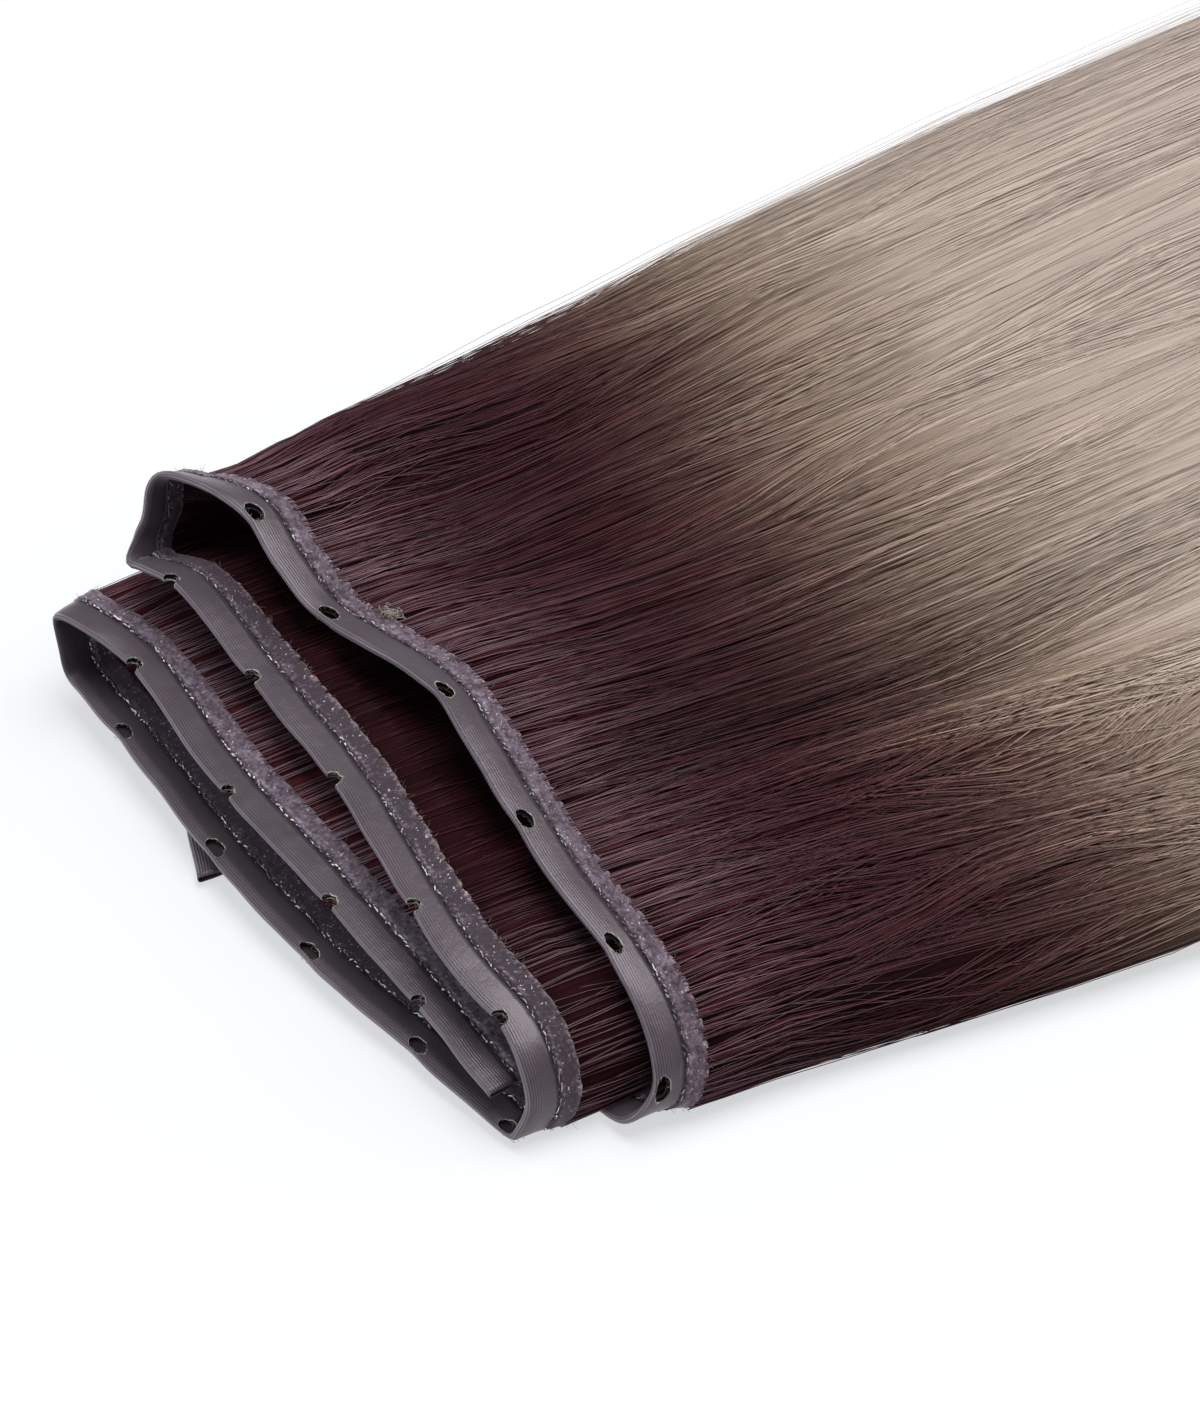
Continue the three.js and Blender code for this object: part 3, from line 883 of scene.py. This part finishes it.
def buildFray():
    dice = np.random.default_rng(51)
    hole = np.repeat(np.arange(len(holePlaces)), fuzzSet["frayPerHole"])
    count = len(hole)
    centre, halfLong, halfWide = holeShapes[hole].T
    openTurn = dice.uniform(-1.7, 1.7, count)
    wholeTurn = dice.uniform(-np.pi, np.pi, count)
    turn = np.where(centre < tapeSet["openAt"], openTurn, wholeTurn)
    along = np.clip(holePlaces[hole] + halfLong * np.sin(turn), 0, weftLength)
    reach = np.maximum(centre + halfWide * np.cos(turn), 0.1)
    side = np.where(dice.uniform(0, 1, count) < 0.5, 1, -1)
    frames = framesAt(along)
    start = pointsOn(frames, reach, tapeHeight(reach, 1.0) * side)
    inward = -frames["across"] * np.cos(turn)[:, None] + frames["face"] * (0.4 * side)[:, None]
    direction = unit(inward + dice.normal(0, fuzzSet["stray"], (count, 3)))
    length = dice.uniform(*fuzzSet["frayLength"], count)
    paths, radii = fibrePaths(start, direction, length, fuzzSet["frayRadius"], 52)
    pale = dice.uniform(0.5, 1, count)
    addTubes("tape_fray", paths, radii, fibreLook("frayed_rim"), {"pale": pale})


# A tuft of lint caught on the band of the top pass
lintSet = {
    "place": 62,  # mm from the start of the pass
    "reach": 5.3,
    "height": 0.55,
    "count": 80,
    "radius": 0.03,
    "scatter": 0.55,
    "spread": (1.0, 0.55, 0.3),  # mm along the weft, away from it and up
    "turns": (2, 7),  # radians
    "curl": (0.12, 0.34),  # mm
}


def buildLint():
    dice = np.random.default_rng(53)
    count = lintSet["count"]
    frames = framesAt(np.full(count, passStart("top") + lintSet["place"]))
    spread = dice.normal(0, lintSet["scatter"], (count, 3)) * lintSet["spread"]
    along = np.cross(frames["across"], frames["face"])
    height = -lintSet["height"] - np.abs(spread[:, 2])  # the face of this pass looks down
    start = pointsOn(frames, lintSet["reach"] + spread[:, 1], height)
    start = start + along * spread[:, :1]
    step = np.linspace(0, 1, 7)
    turn = step * dice.uniform(*lintSet["turns"], count)[:, None]
    turn = turn + dice.uniform(*anyTurn, count)[:, None]
    curl = dice.uniform(*lintSet["curl"], count)[:, None]
    axes = unit(dice.normal(0, 1, (2, count, 3)))
    paths = start[:, None] + axes[0][:, None] * (curl * np.cos(turn))[..., None]
    paths = paths + axes[1][:, None] * (curl * np.sin(turn))[..., None]
    radii = np.full((count, len(step)), lintSet["radius"])
    pale = dice.uniform(0.4, 1.0, count)
    addTubes("seam_lint", paths, radii, fibreLook("lint", 0.25), {"pale": pale})


buildFuzz()
buildFray()
buildLint()

# Hair: strands in tufts at the band that join into locks and settle into the pile
hairSet = {
    "length": 350.0,
    "rootReach": 5.7,
    "layerPitch": 1.8,
    "lowestLayer": 0.4,
    "floorGap": 0.1,
    "strandGap": 0.05,  # mm that a strand's middle keeps more
    "drift": -10.0,
    "widening": 0.51,
    "lateFall": 10.0,  # mm that the left end of the top pass stays up longer
    "tuck": (0.1, 0, -0.3),  # mm that the hair of the upper left fold moves at its root
    "radius": 0.066,
    "roughness": 0.38,
    "gloss": 0.12,
    "glossTint": (1.0, 0.70, 0.74),
    "toneShift": 12.0,
    "lockShift": 2.5,
    "lockContrast": 0.14,
    "rootContrast": 1.2,
    "tipContrast": 0.08,
    "contrastFade": (30.0, 90.0),  # mm from the root
    "rootGlow": 0.5,
    "glowReach": 10.0,
    "evenNormals": (0.15, 0.95),  # share of the sheet's normal, at the root and beyond the fade
    "normalFade": (20.0, 70.0),
    "glint": (0.25, 0.165, 0.19),
    # painted shade: the strands of the second pass are darker, as they lie in the shade of the top pass
    "strandShade": {"second": 0.6},
}
# The dark sheet inside the hair, coloured as painted shade between the strands, darkest near the root
coreSet = {
    "thickness": 0.42,
    "rowStep": 1.1,  # mm along the weft
    "floorGap": 0.3,
    "ragged": 0.05,
    "roughness": 0.9,
    "gloss": 0.1,
    "laneScale": (5.0, 0.05),  # streaks across and along the hair
    "streaks": (0.75, 1.2),
    # painted shade: brightness of the sheet at the root for each pass, the third pass lighter as painted
    # light; further out it lifts to light, still below the strands
    "dark": {"top": 0.12, "second": 0.34, "third": 1.2},
    "light": 0.76,
    "lightFade": (12.0, 60.0),  # mm from the root over which the painted shade lifts
}
# Locks, in mm
lockSet = {
    "width": (2.4, 7.0),  # narrowest and widest
    "sway": 1.6,  # to the side, at the tips
    "tips": 7.0,  # by which the lengths of the locks differ
    "wave": (60, 120),  # shortest and longest
    "waveSize": (0.3, 2.2),  # everywhere, and more where the locks part
    "pull": (0.32, 0.55),  # share of the way to the lock's middle: elsewhere, and where the locks part
    "crown": 0.34,  # height of the lock's middle over its borders
    "sink": 0.2,
    "rise": 0.14,  # by which the heights of the locks differ
}
# Strands in the locks, in mm
strandSet = {
    "shorter": 0.045,  # share of the full length
    "shortest": 0.8,
    "tuftShift": 0.25,
    "wander": (2.6, 0.3),  # at the tips, and soon after the root
    "stray": 0.85,
    "wave": (60, 150),  # shortest and longest
    "waveSize": (0.45, 0.5),  # everywhere, and more where the locks part
    "slowWave": (1.1, 0.3),  # along the weft, and up
    "wanderUp": 0.3,
    "slim": (0.7, 1.3),  # share of the radius
    "gleamReach": (60, 30),  # from the root, and more at the right end
}
# how the gleam of a strand fades: share of its reach from the root, share of the gleam
gleamSteps = np.array(((0, 1), (0.08, 0.7), (0.17, 0.33), (0.35, 0.17), (1, 0)))
# distance from the root in mm, share of the fan, share of the fall into the pile
hairFlow = np.array((
    (0, 0, 0),
    (6, 0.02, 0.1),
    (15, 0.1, 0.38),
    (27, 0.28, 0.68),
    (42, 0.48, 0.9),
    (65, 0.7, 1),
    (105, 0.88, 1),
    (180, 1.06, 1),
    (280, 1.1, 1),
    (350, 1.06, 1),
))
# stations along a strand, in mm from the root of a full-length strand
fineStations = np.array((-0.8, 3, 8, 15, 23, 32, 42, 53, 66, 82, 105, 150, 230, 350))
plainStations = np.array((-0.8, 3, 8, 16, 28, 45, 70, 110, 170, 250, 350))
coreStations = np.array((-0.3, 2, 5, 9, 14, 20, 27, 35, 44, 54, 66, 82, 105, *np.linspace(140, 318, 6)))
# pile of strands: pass, piece, number of strands, side that faces up, stations, seed,
# gleam at the left and right end, and how few of the strands gleam
hairPiles = (
    ("top", "hair_top_upper", 2450, -1, fineStations, 61, (1.0, 0.8), 3),
    ("top", "hair_top_lower", 2300, -1, fineStations, 62, (0.8, 0.7), 3),
    ("second", "hair_second", 1300, 1, plainStations, 63, (0.04, 0.7), 1.5),
    ("third", "hair_third", 1000, 1, plainStations, 64, (0.9, 0.4), 0.5),
    ("front", "hair_front", 800, -1, plainStations, 65, (0.3, 0.3), 3),
    ("bottom", "hair_bottom", 800, 1, plainStations, 66, (0.3, 0.3), 3),
    ("tail", "hair_tail", 300, -1, plainStations, 67, (0.3, 0.3), 3),
)
# how much later the hair turns blond across the fall: x of the root in mm, delay in mm
blondDelay = np.array(((-33, 5), (-28, 5), (-14, 0), (0, -3), (13, -8), (28, 0), (38, -2)))
# colour along the hair: distance from the root in mm, colour
hairOmbre = (
    (0, (0.028, 0.0052, 0.0080)),
    (30, (0.034, 0.0075, 0.0095)),
    (43, (0.088, 0.0450, 0.0380)),
    (56, (0.250, 0.1850, 0.1400)),
    (76, (0.430, 0.3500, 0.2950)),
    (120, (0.470, 0.3900, 0.3400)),
    (350, (0.440, 0.3550, 0.3000)),
)


def smoothFlow():
    along = np.arange(-20, 400.0)
    blur = 6  # mm to each side
    kernel = np.bartlett(2 * blur + 1)
    kernel = kernel / kernel.sum()
    out = [along]
    for column in (1, 2):
        values = np.interp(along, hairFlow[:, 0], hairFlow[:, column])
        values = np.convolve(np.pad(values, blur, mode="edge"), kernel, mode="valid")
        out.append(values - np.interp(0, along, values))
    return out


flowAlong, flowSpread, flowSettle = smoothFlow()


# Middle surface of the hair at a distance along the weft and from the root
def hairSheet(distance, fromRoot):
    shape = distance.shape
    frames = framesAt(np.clip(distance, 0, weftLength).ravel())
    along = fromRoot.ravel()
    spread = np.interp(along, flowAlong, flowSpread)
    edgeX = frames["edge"][:, 0]
    highest = smoothStep((frames["layer"] - 4) / 0.6)  # 1 on the top pass
    late = hairSet["lateFall"] * smoothStep((-20 - edgeX) / 9) * highest
    settle = np.clip(np.interp(along - late * smoothStep(along / 10), flowAlong, flowSettle), 0, 1)
    gather = smoothStep((-34.2 - edgeX) / 1.6) * highest  # the hair of the upper left fold tucks in
    settle = settle + (smoothStep(along / 9) - settle) * gather
    edgeX = edgeX + (foldX - edgeX) * gather
    rootReach = hairSet["rootReach"] + np.minimum(along, 0)
    root = frames["edge"] + frames["across"] * rootReach[:, None]
    root = root + gather[:, None] * np.array(hairSet["tuck"])
    settled = hairSet["floorGap"] + hairSet["layerPitch"] * (frames["layer"] + hairSet["lowestLayer"])
    fan = hairSet["drift"] + hairSet["widening"] * edgeX
    x = root[:, 0] + (edgeX - root[:, 0]) * settle + spread * fan
    y = root[:, 1] + np.maximum(along, 0)
    z = root[:, 2] + (settled - root[:, 2]) * settle
    return np.stack([x, y, z], -1).reshape(*shape, 3), frames["fill"].reshape(shape)


def sheetNormals(distance, fromRoot):
    step = 0.6  # mm along the weft
    ahead, _ = hairSheet(distance + step, fromRoot)
    behind, _ = hairSheet(distance - step, fromRoot)
    alongHair = np.zeros_like(ahead)
    alongHair[..., 1] = 1
    return unit(np.cross(ahead - behind, alongHair))


def hairLook(name, core):
    finish = coreSet if core else hairSet
    look, shader = startLook(name, finish["roughness"])
    shader.inputs["Specular IOR Level"].default_value = finish["gloss"]
    shader.inputs["Specular Tint"].default_value = (*hairSet["glossTint"], 1)
    fromRoot = readAttribute(look, "fromRoot")
    tone = readAttribute(look, "tone")
    lockTone = readAttribute(look, "lockTone")
    place = calc(look, "SUBTRACT", fromRoot, readAttribute(look, "delay"))
    share = calc(look, "DIVIDE", place, hairSet["length"])
    stops = [(distance / hairSet["length"], colour) for distance, colour in hairOmbre]
    colour = colourRamp(look, share, stops)
    shadeTone = calc(look, "FRACT", calc(look, "MULTIPLY", tone, 7.31))  # a second tone for each strand
    contrast = hairSet["rootContrast"], hairSet["tipContrast"]
    paler = ranged(look, fromRoot, *hairSet["contrastFade"], *contrast)
    vary = calc(look, "MULTIPLY_ADD", lockTone, hairSet["lockContrast"], -0.5)
    bright = calc(look, "MULTIPLY_ADD", calc(look, "ADD", shadeTone, vary), paler, 1.0)
    glow = ranged(look, fromRoot, 0.0, hairSet["glowReach"], hairSet["rootGlow"], 0.0)
    bright = calc(look, "ADD", bright, glow)
    if core:
        acrossScale, alongScale = coreSet["laneScale"]
        lane = calc(look, "MULTIPLY", readAttribute(look, "lane"), acrossScale)
        along = calc(look, "MULTIPLY", fromRoot, alongScale)
        streaked = addNode(look, "ShaderNodeCombineXYZ", {"X": lane, "Y": along}).outputs["Vector"]
        streaks = ranged(look, noise(look, streaked, 1.0), 0.3, 0.7, *coreSet["streaks"])
        # painted shade: the sheet is darkened near the root
        gapShade = readAttribute(look, "gapShade")
        rising = ranged(look, fromRoot, *coreSet["lightFade"], gapShade, coreSet["light"])
        bright = calc(look, "MULTIPLY", bright, calc(look, "MULTIPLY", rising, streaks))
    else:
        bright = calc(look, "MULTIPLY", bright, readAttribute(look, "shade"))
    scaled = addNode(look, "ShaderNodeVectorMath", {0: colour}, operation="SCALE")
    plug(look, scaled.inputs["Scale"], bright)
    colour = scaled.outputs["Vector"]
    if not core:
        colour = mixColours(look, readAttribute(look, "gleam"), colour, hairSet["glint"])
        smooth = ranged(look, fromRoot, *hairSet["normalFade"], *hairSet["evenNormals"])
        sheet = addNode(look, "ShaderNodeAttribute", {}, attribute_name="sheetNormal").outputs["Vector"]
        spaces = {"vector_type": "NORMAL", "convert_from": "OBJECT", "convert_to": "WORLD"}
        turned = addNode(look, "ShaderNodeVectorTransform", {"Vector": sheet}, **spaces)
        strand = addNode(look, "ShaderNodeNewGeometry", {}).outputs["Normal"]
        blend = addNode(look, "ShaderNodeMix", {}, data_type="VECTOR")
        plug(look, blend.inputs["Factor"], smooth)
        plug(look, blend.inputs[4], strand)  # the node's vector sockets
        plug(look, blend.inputs[5], turned.outputs["Vector"])
        evened = addNode(look, "ShaderNodeVectorMath", {0: blend.outputs[1]}, operation="NORMALIZE")
        plug(look, shader.inputs["Normal"], evened.outputs["Vector"])
    plug(look, shader.inputs["Base Color"], colour)
    return look


# Slow waves over the whole fall, the same for neighbouring strands
def slowWaves(seed, distance, fromRoot, waves=6):
    dice = np.random.default_rng(seed)
    total = np.zeros_like(distance)
    for _ in range(waves):
        across = distance / dice.uniform(9, 26)
        along = fromRoot / dice.uniform(70, 170) * dice.choice([-1, 1])
        total = total + np.sin(2 * np.pi * (across + along) + dice.uniform(*anyTurn))
    return total / np.sqrt(waves)


def colourDelay(distance, tone, lockTone):
    rootX = framesAt(np.clip(distance, 0, weftLength))["edge"][:, 0]
    delay = np.interp(rootX, blondDelay[:, 0], blondDelay[:, 1])
    return delay - hairSet["toneShift"] * (tone - 0.5) - hairSet["lockShift"] * lockTone


def gleamFade(fromRoot, reach):
    return np.interp(fromRoot / reach, gleamSteps[:, 0], gleamSteps[:, 1])


def lockPlan(dice, start, end):
    edges = [start]
    while edges[-1] < end:
        edges.append(edges[-1] + dice.uniform(*lockSet["width"]))
    return np.array(edges)


# the tuft and the lock of each strand
def pickLocks(dice, seed, start, end, count):
    tufts = np.arange(start, end, hairTuftPitch)
    tufts = tufts + dice.uniform(-strandSet["tuftShift"], strandSet["tuftShift"], len(tufts))
    centre = tufts[dice.integers(0, len(tufts), count)]
    inTuft = dice.uniform(-1, 1, count)
    edges = lockPlan(np.random.default_rng(seed // 2), start, end)
    lock = np.clip(np.searchsorted(edges, centre) - 1, 0, len(edges) - 2)
    lockDice = np.random.default_rng(seed // 2 + 500)
    sway, rise, tone = lockDice.normal(0, 1, (3, len(edges)))[:, lock]
    return {
        "centre": centre,
        "inTuft": inTuft,
        "middle": (edges[lock] + edges[lock + 1]) / 2,
        "half": (edges[lock + 1] - edges[lock]) / 2,
        "sway": sway,
        "rise": rise,
        "tone": np.clip(tone, -1.6, 1.6),
        "waveLength": lockDice.uniform(*lockSet["wave"], len(edges))[lock],
        "waveTurn": lockDice.uniform(*anyTurn, len(edges))[lock],
    }


# where the strands lie along the weft
def strandRun(dice, locks, fromRoot, far, rootX, wander):
    columns = {key: values[:, None] for key, values in locks.items()}
    parting = smoothStep((rootX - 6) / 26)[:, None]  # locks part more towards the right
    loosen = 0.78 + 0.6 * smoothStep(fromRoot / 14)
    distance = columns["centre"] + columns["inTuft"] * hairTuftPitch / 2 * loosen
    pull, partingPull = lockSet["pull"]
    pull = pull * smoothStep((fromRoot - 8) / 70) * (1 - parting)
    pull = pull + partingPull * smoothStep((fromRoot - 3) / 22) * parting
    distance = distance + (columns["middle"] - distance) * pull
    distance = distance + columns["sway"] * lockSet["sway"] * far ** 1.2
    tipWander, rootWander = strandSet["wander"]
    distance = distance + wander[0] * (tipWander * far + rootWander * smoothStep(fromRoot / 24))
    distance = distance + wander[2] * (strandSet["stray"] * np.clip(fromRoot / 16, 0, 1))
    calm, lively = lockSet["waveSize"]
    sway = np.sin(fromRoot * 2 * np.pi / columns["waveLength"] + columns["waveTurn"])
    distance = distance + (calm + lively * parting) * sway * smoothStep((fromRoot - 4) / 24)
    calm, lively = strandSet["waveSize"]
    waveLength = dice.uniform(*strandSet["wave"], len(rootX))[:, None]
    waveTurn = dice.uniform(*anyTurn, len(rootX))[:, None]
    wave = np.sin(fromRoot * 2 * np.pi / waveLength + waveTurn)
    distance = distance + (calm + lively * parting) * wave * smoothStep(fromRoot / 50)
    slow = strandSet["slowWave"][0] * slowWaves(81, distance, fromRoot)
    return distance + slow * smoothStep((fromRoot - 6) / 50)


# how high the strands lie in the layer of their pass
def strandRise(deep, locks, fromRoot, distance, wander, fill):
    inLock = np.clip((locks["centre"] - locks["middle"]) / locks["half"], -1, 1)
    crown = lockSet["crown"] * (1 - inLock ** 2) - lockSet["sink"]
    body = smoothStep(fromRoot / 22)
    even = 1 - 0.65 * smoothStep((fromRoot - 30) / 50)
    height = deep[:, None] * (0.75 + 0.45 * body) * even
    height = height + (crown + lockSet["rise"] * locks["rise"])[:, None] * body * even
    height = height + strandSet["wanderUp"] * wander[1] * smoothStep((fromRoot - 40) / 200)
    height = height + strandSet["slowWave"][1] * slowWaves(82, distance, fromRoot) * body * even
    height = height * np.maximum(fill, 0.4)
    return height * (1 - 0.55 * smoothStep((fromRoot - 230) / 120))


def buildPile(passName, pieceName, count, up, stations, seed, gleamShare, fewness, look):
    dice = np.random.default_rng(seed)
    locks = pickLocks(dice, seed, *passSpan(passName), count)
    shorter = np.abs(dice.normal(0, strandSet["shorter"], count))
    full = hairSet["length"] * np.clip(1 - shorter, strandSet["shortest"], 1)
    full = full + lockSet["tips"] * np.tanh(locks["sway"])
    scale = full / hairSet["length"]
    fromRoot = np.where(stations > 30, stations * scale[:, None], stations)  # near the root all are alike
    far = np.maximum(fromRoot, 0) / hairSet["length"]
    rootX = framesAt(locks["centre"])["edge"][:, 0]
    wander = dice.normal(0, 1, (3, count))[..., None]
    distance = strandRun(dice, locks, fromRoot, far, rootX, wander)
    rightward = smoothStep((rootX - 16) / 16)
    gleam = gleamShare[0] + (gleamShare[1] - gleamShare[0]) * rightward
    gleam = gleam * dice.uniform(0, 1, count) ** fewness
    gleaming = smoothStep(gleam / 0.5)
    deep = dice.uniform(-0.5, 0.5, count) + 0.25 * gleaming  # gleaming strands lie on top
    middle, fill = hairSheet(distance, fromRoot)
    normals = sheetNormals(distance, fromRoot) * up
    height = strandRise(deep, locks, fromRoot, distance, wander, fill)
    paths = middle + normals * height[..., None]
    paths[..., 2] = np.maximum(paths[..., 2], hairSet["floorGap"] + hairSet["strandGap"])
    taper = 1 - 0.6 * smoothStep((far - 0.6) / 0.4)
    slim = dice.uniform(*strandSet["slim"], count) * (1 - 0.4 * gleaming)
    radii = hairSet["radius"] * slim[:, None] * taper
    tone = dice.uniform(0, 1, count)
    leftReach, moreReach = strandSet["gleamReach"]
    gleamReach = leftReach + moreReach * rightward[:, None]
    perStrand = {
        "fromRoot": fromRoot,
        "tone": tone,
        "delay": colourDelay(locks["centre"], tone, locks["tone"]),
        "gleam": gleam[:, None] * gleamFade(fromRoot, gleamReach),
        "lockTone": locks["tone"],
        "shade": np.full(count, hairSet["strandShade"].get(passName, 1.0)),
    }
    upright = unit(0.4 * normals + np.array((0, 0, 0.6)))
    addTubes(pieceName, paths, radii, look, perStrand, upright)


def buildCore(look):
    s = np.linspace(0, weftLength, int(weftLength / coreSet["rowStep"]))
    ragged = 1 + coreSet["ragged"] * np.random.default_rng(71).uniform(-1, 1, len(s))
    fromRoot = np.where(coreStations > 60, coreStations * ragged[:, None], coreStations)
    distance = np.broadcast_to(s[:, None], fromRoot.shape)
    points, fill = hairSheet(distance, fromRoot)
    points[..., 2] = np.maximum(points[..., 2], hairSet["floorGap"] + coreSet["floorGap"])
    index = np.arange(fill.size).reshape(fill.shape)
    quads = np.stack([index[:-1, :-1], index[1:, :-1], index[1:, 1:], index[:-1, 1:]], -1).reshape(-1, 4)
    tone = np.random.default_rng(72).uniform(0, 1, len(s))
    lockTone = slowNoise(73, s, 7)
    perRow = {
        "tone": tone,
        "lockTone": lockTone,
        "delay": colourDelay(s, tone, lockTone),
        "lane": s,
        "gapShade": passValues(s, coreSet["dark"]),
    }
    marks = {key: np.broadcast_to(values[:, None], fill.shape) for key, values in perRow.items()}
    marks["fromRoot"] = fromRoot
    points, quads, marks = thickSheet(points.reshape(-1, 3), quads, coreSet["thickness"], marks)
    piece = addPiece("hair_core", points, quads, noTris, look, marks)
    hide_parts("hair")


# Loose hairs: at both sides of the fall and across its top
wispSet = {
    "radius": 0.036,
    "length": (0.86, 1),  # share of the full length
    "slim": (0.6, 1.1),
    "gleam": (0.1, 1),
    "gleamReach": 60,  # mm from the root
}
# kind: count, first and last place on the top pass in mm (below 0: from its end),
# side that they lean to, mm that they stand off, mm that they stray along the weft, mm of lift
wispKinds = {
    "left": (220, -1.5, -7.5, -1, 2.0, 0, 0.1),
    "right": (110, 9, 15, 1, 1.8, 0, 0.1),
    "top": (130, 12, -8, 0, 0, 3, 1.1),
    "flyaways": (4, -4, -8, -1, 6.5, 0, 0.6),
}


def buildWisps(look):
    dice = np.random.default_rng(91)
    start, end = passSpan("top")
    counts = [row[0] for row in wispKinds.values()]
    kinds = np.array([row[1:] for row in wispKinds.values()], float)
    kinds[:, :2] += np.where(kinds[:, :2] < 0, end, start)
    first, last, lean, standOff, stray, lift = np.repeat(kinds, counts, axis=0).T[..., None]
    count = len(first)
    root = first + (last - first) * dice.uniform(0, 1, count)[:, None]
    fromRoot = fineStations * dice.uniform(*wispSet["length"], count)[:, None]
    far = np.maximum(fromRoot, 0) / hairSet["length"]
    wander = dice.normal(0, 1, (3, count))[..., None]
    out = standOff * dice.uniform(0.1, 1, count)[:, None]
    distance = root + wander[0] * 5 * far + stray * wander[1] * smoothStep(fromRoot / 60)
    paths, _ = hairSheet(np.clip(distance, start, end), fromRoot)
    swell = smoothStep(fromRoot / 45) * (1 - 0.4 * smoothStep((fromRoot - 120) / 150))
    paths[..., 0] += lean * out * swell + 0.5 * wander[1] * smoothStep(fromRoot / 120)
    paths[..., 2] += (lift + 0.25 * wander[2]) * swell
    paths[..., 2] = np.maximum(paths[..., 2], hairSet["floorGap"] + hairSet["strandGap"])
    radii = wispSet["radius"] * dice.uniform(*wispSet["slim"], count)[:, None] * (1 - 0.6 * far)
    tone = dice.uniform(0, 1, count)
    gleam = dice.uniform(*wispSet["gleam"], count)[:, None]
    perStrand = {
        "fromRoot": fromRoot,
        "tone": tone,
        "delay": colourDelay(root[:, 0], tone, np.zeros(count)),
        "gleam": gleam * gleamFade(fromRoot, wispSet["gleamReach"]),
        "lockTone": np.zeros(count),
        "shade": np.ones(count),
    }
    upright = np.broadcast_to(np.array((0.0, 0.0, 1.0)), paths.shape)
    addTubes("hair_wisps", paths, radii, look, perStrand, upright)


strandLook = hairLook("hair_strand", False)
coreLook = hairLook("hair_shadow", True)
buildCore(coreLook)
for pile in hairPiles:
    buildPile(*pile, strandLook)
buildWisps(strandLook)

# Floor and soft light
stageSet = {
    "floor": (0.25, 0.253, 0.258),
    "world": (0.94, 0.955, 0.98),
    "worldStrength": 0.25,
    "floorGlow": 0.63,
    "floorHalf": 4.0,  # m
    "floorRoughness": 0.8,
    "grainScale": 6.0,
    "grainShade": 0.985,
    "lampTarget": (0, 0.06, 0),  # m
}
# name, place in m, size in m, power in W, colour
lamps = (
    ("top_softbox", (0.0, 0.3, 1.3), 1.0, 21.0, (1.0, 0.98, 0.97)),
    ("back_softbox", (0.2, 1.1, 0.8), 0.8, 6.0, (1.0, 0.97, 0.95)),
    ("left_fill", (-1.1, -0.4, 0.3), 0.7, 3.3, (0.76, 0.91, 1.0)),
    ("front_fill", (-0.15, -1.1, 0.3), 0.7, 6.0, (0.84, 0.92, 1.0)),
    ("right_fill", (0.95, -0.5, 0.5), 0.6, 1.2, (0.90, 0.95, 1.0)),
)


def addStage():
    half = stageSet["floorHalf"]
    corners = [(-half, -half, 0), (half, -half, 0), (half, half, 0), (-half, half, 0)]
    mesh = bpy.data.meshes.new("floor")
    mesh.from_pydata(corners, [], [(0, 1, 2, 3)])
    floor = bpy.data.objects.new("floor", mesh)
    bpy.context.scene.collection.objects.link(floor)
    look, shader = startLook("pale_floor", stageSet["floorRoughness"])
    grain = noise(look, objectPlace(look), stageSet["grainScale"])
    pale = stageSet["floor"]
    dull = [channel * stageSet["grainShade"] for channel in pale]
    plug(look, shader.inputs["Base Color"], mixColours(look, grain, pale, dull))
    shader.inputs["Emission Color"].default_value = (*stageSet["world"], 1)
    shader.inputs["Emission Strength"].default_value = stageSet["floorGlow"]
    mesh.materials.append(look)
    world = bpy.data.worlds.new("studio")
    world.use_nodes = True
    sky = world.node_tree.nodes["Background"]
    sky.inputs["Color"].default_value = (*stageSet["world"], 1)
    sky.inputs["Strength"].default_value = stageSet["worldStrength"]
    bpy.context.scene.world = world
    for name, place, size, power, colour in lamps:
        light = bpy.data.lights.new(name, "AREA")
        light.size = size
        light.energy = power
        light.color = colour
        lamp = bpy.data.objects.new(name, light)
        lamp.visible_camera = False
        aimAt(lamp, place, stageSet["lampTarget"])
    bpy.context.scene.view_settings.view_transform = "Standard"


addStage()
print("stage lit")
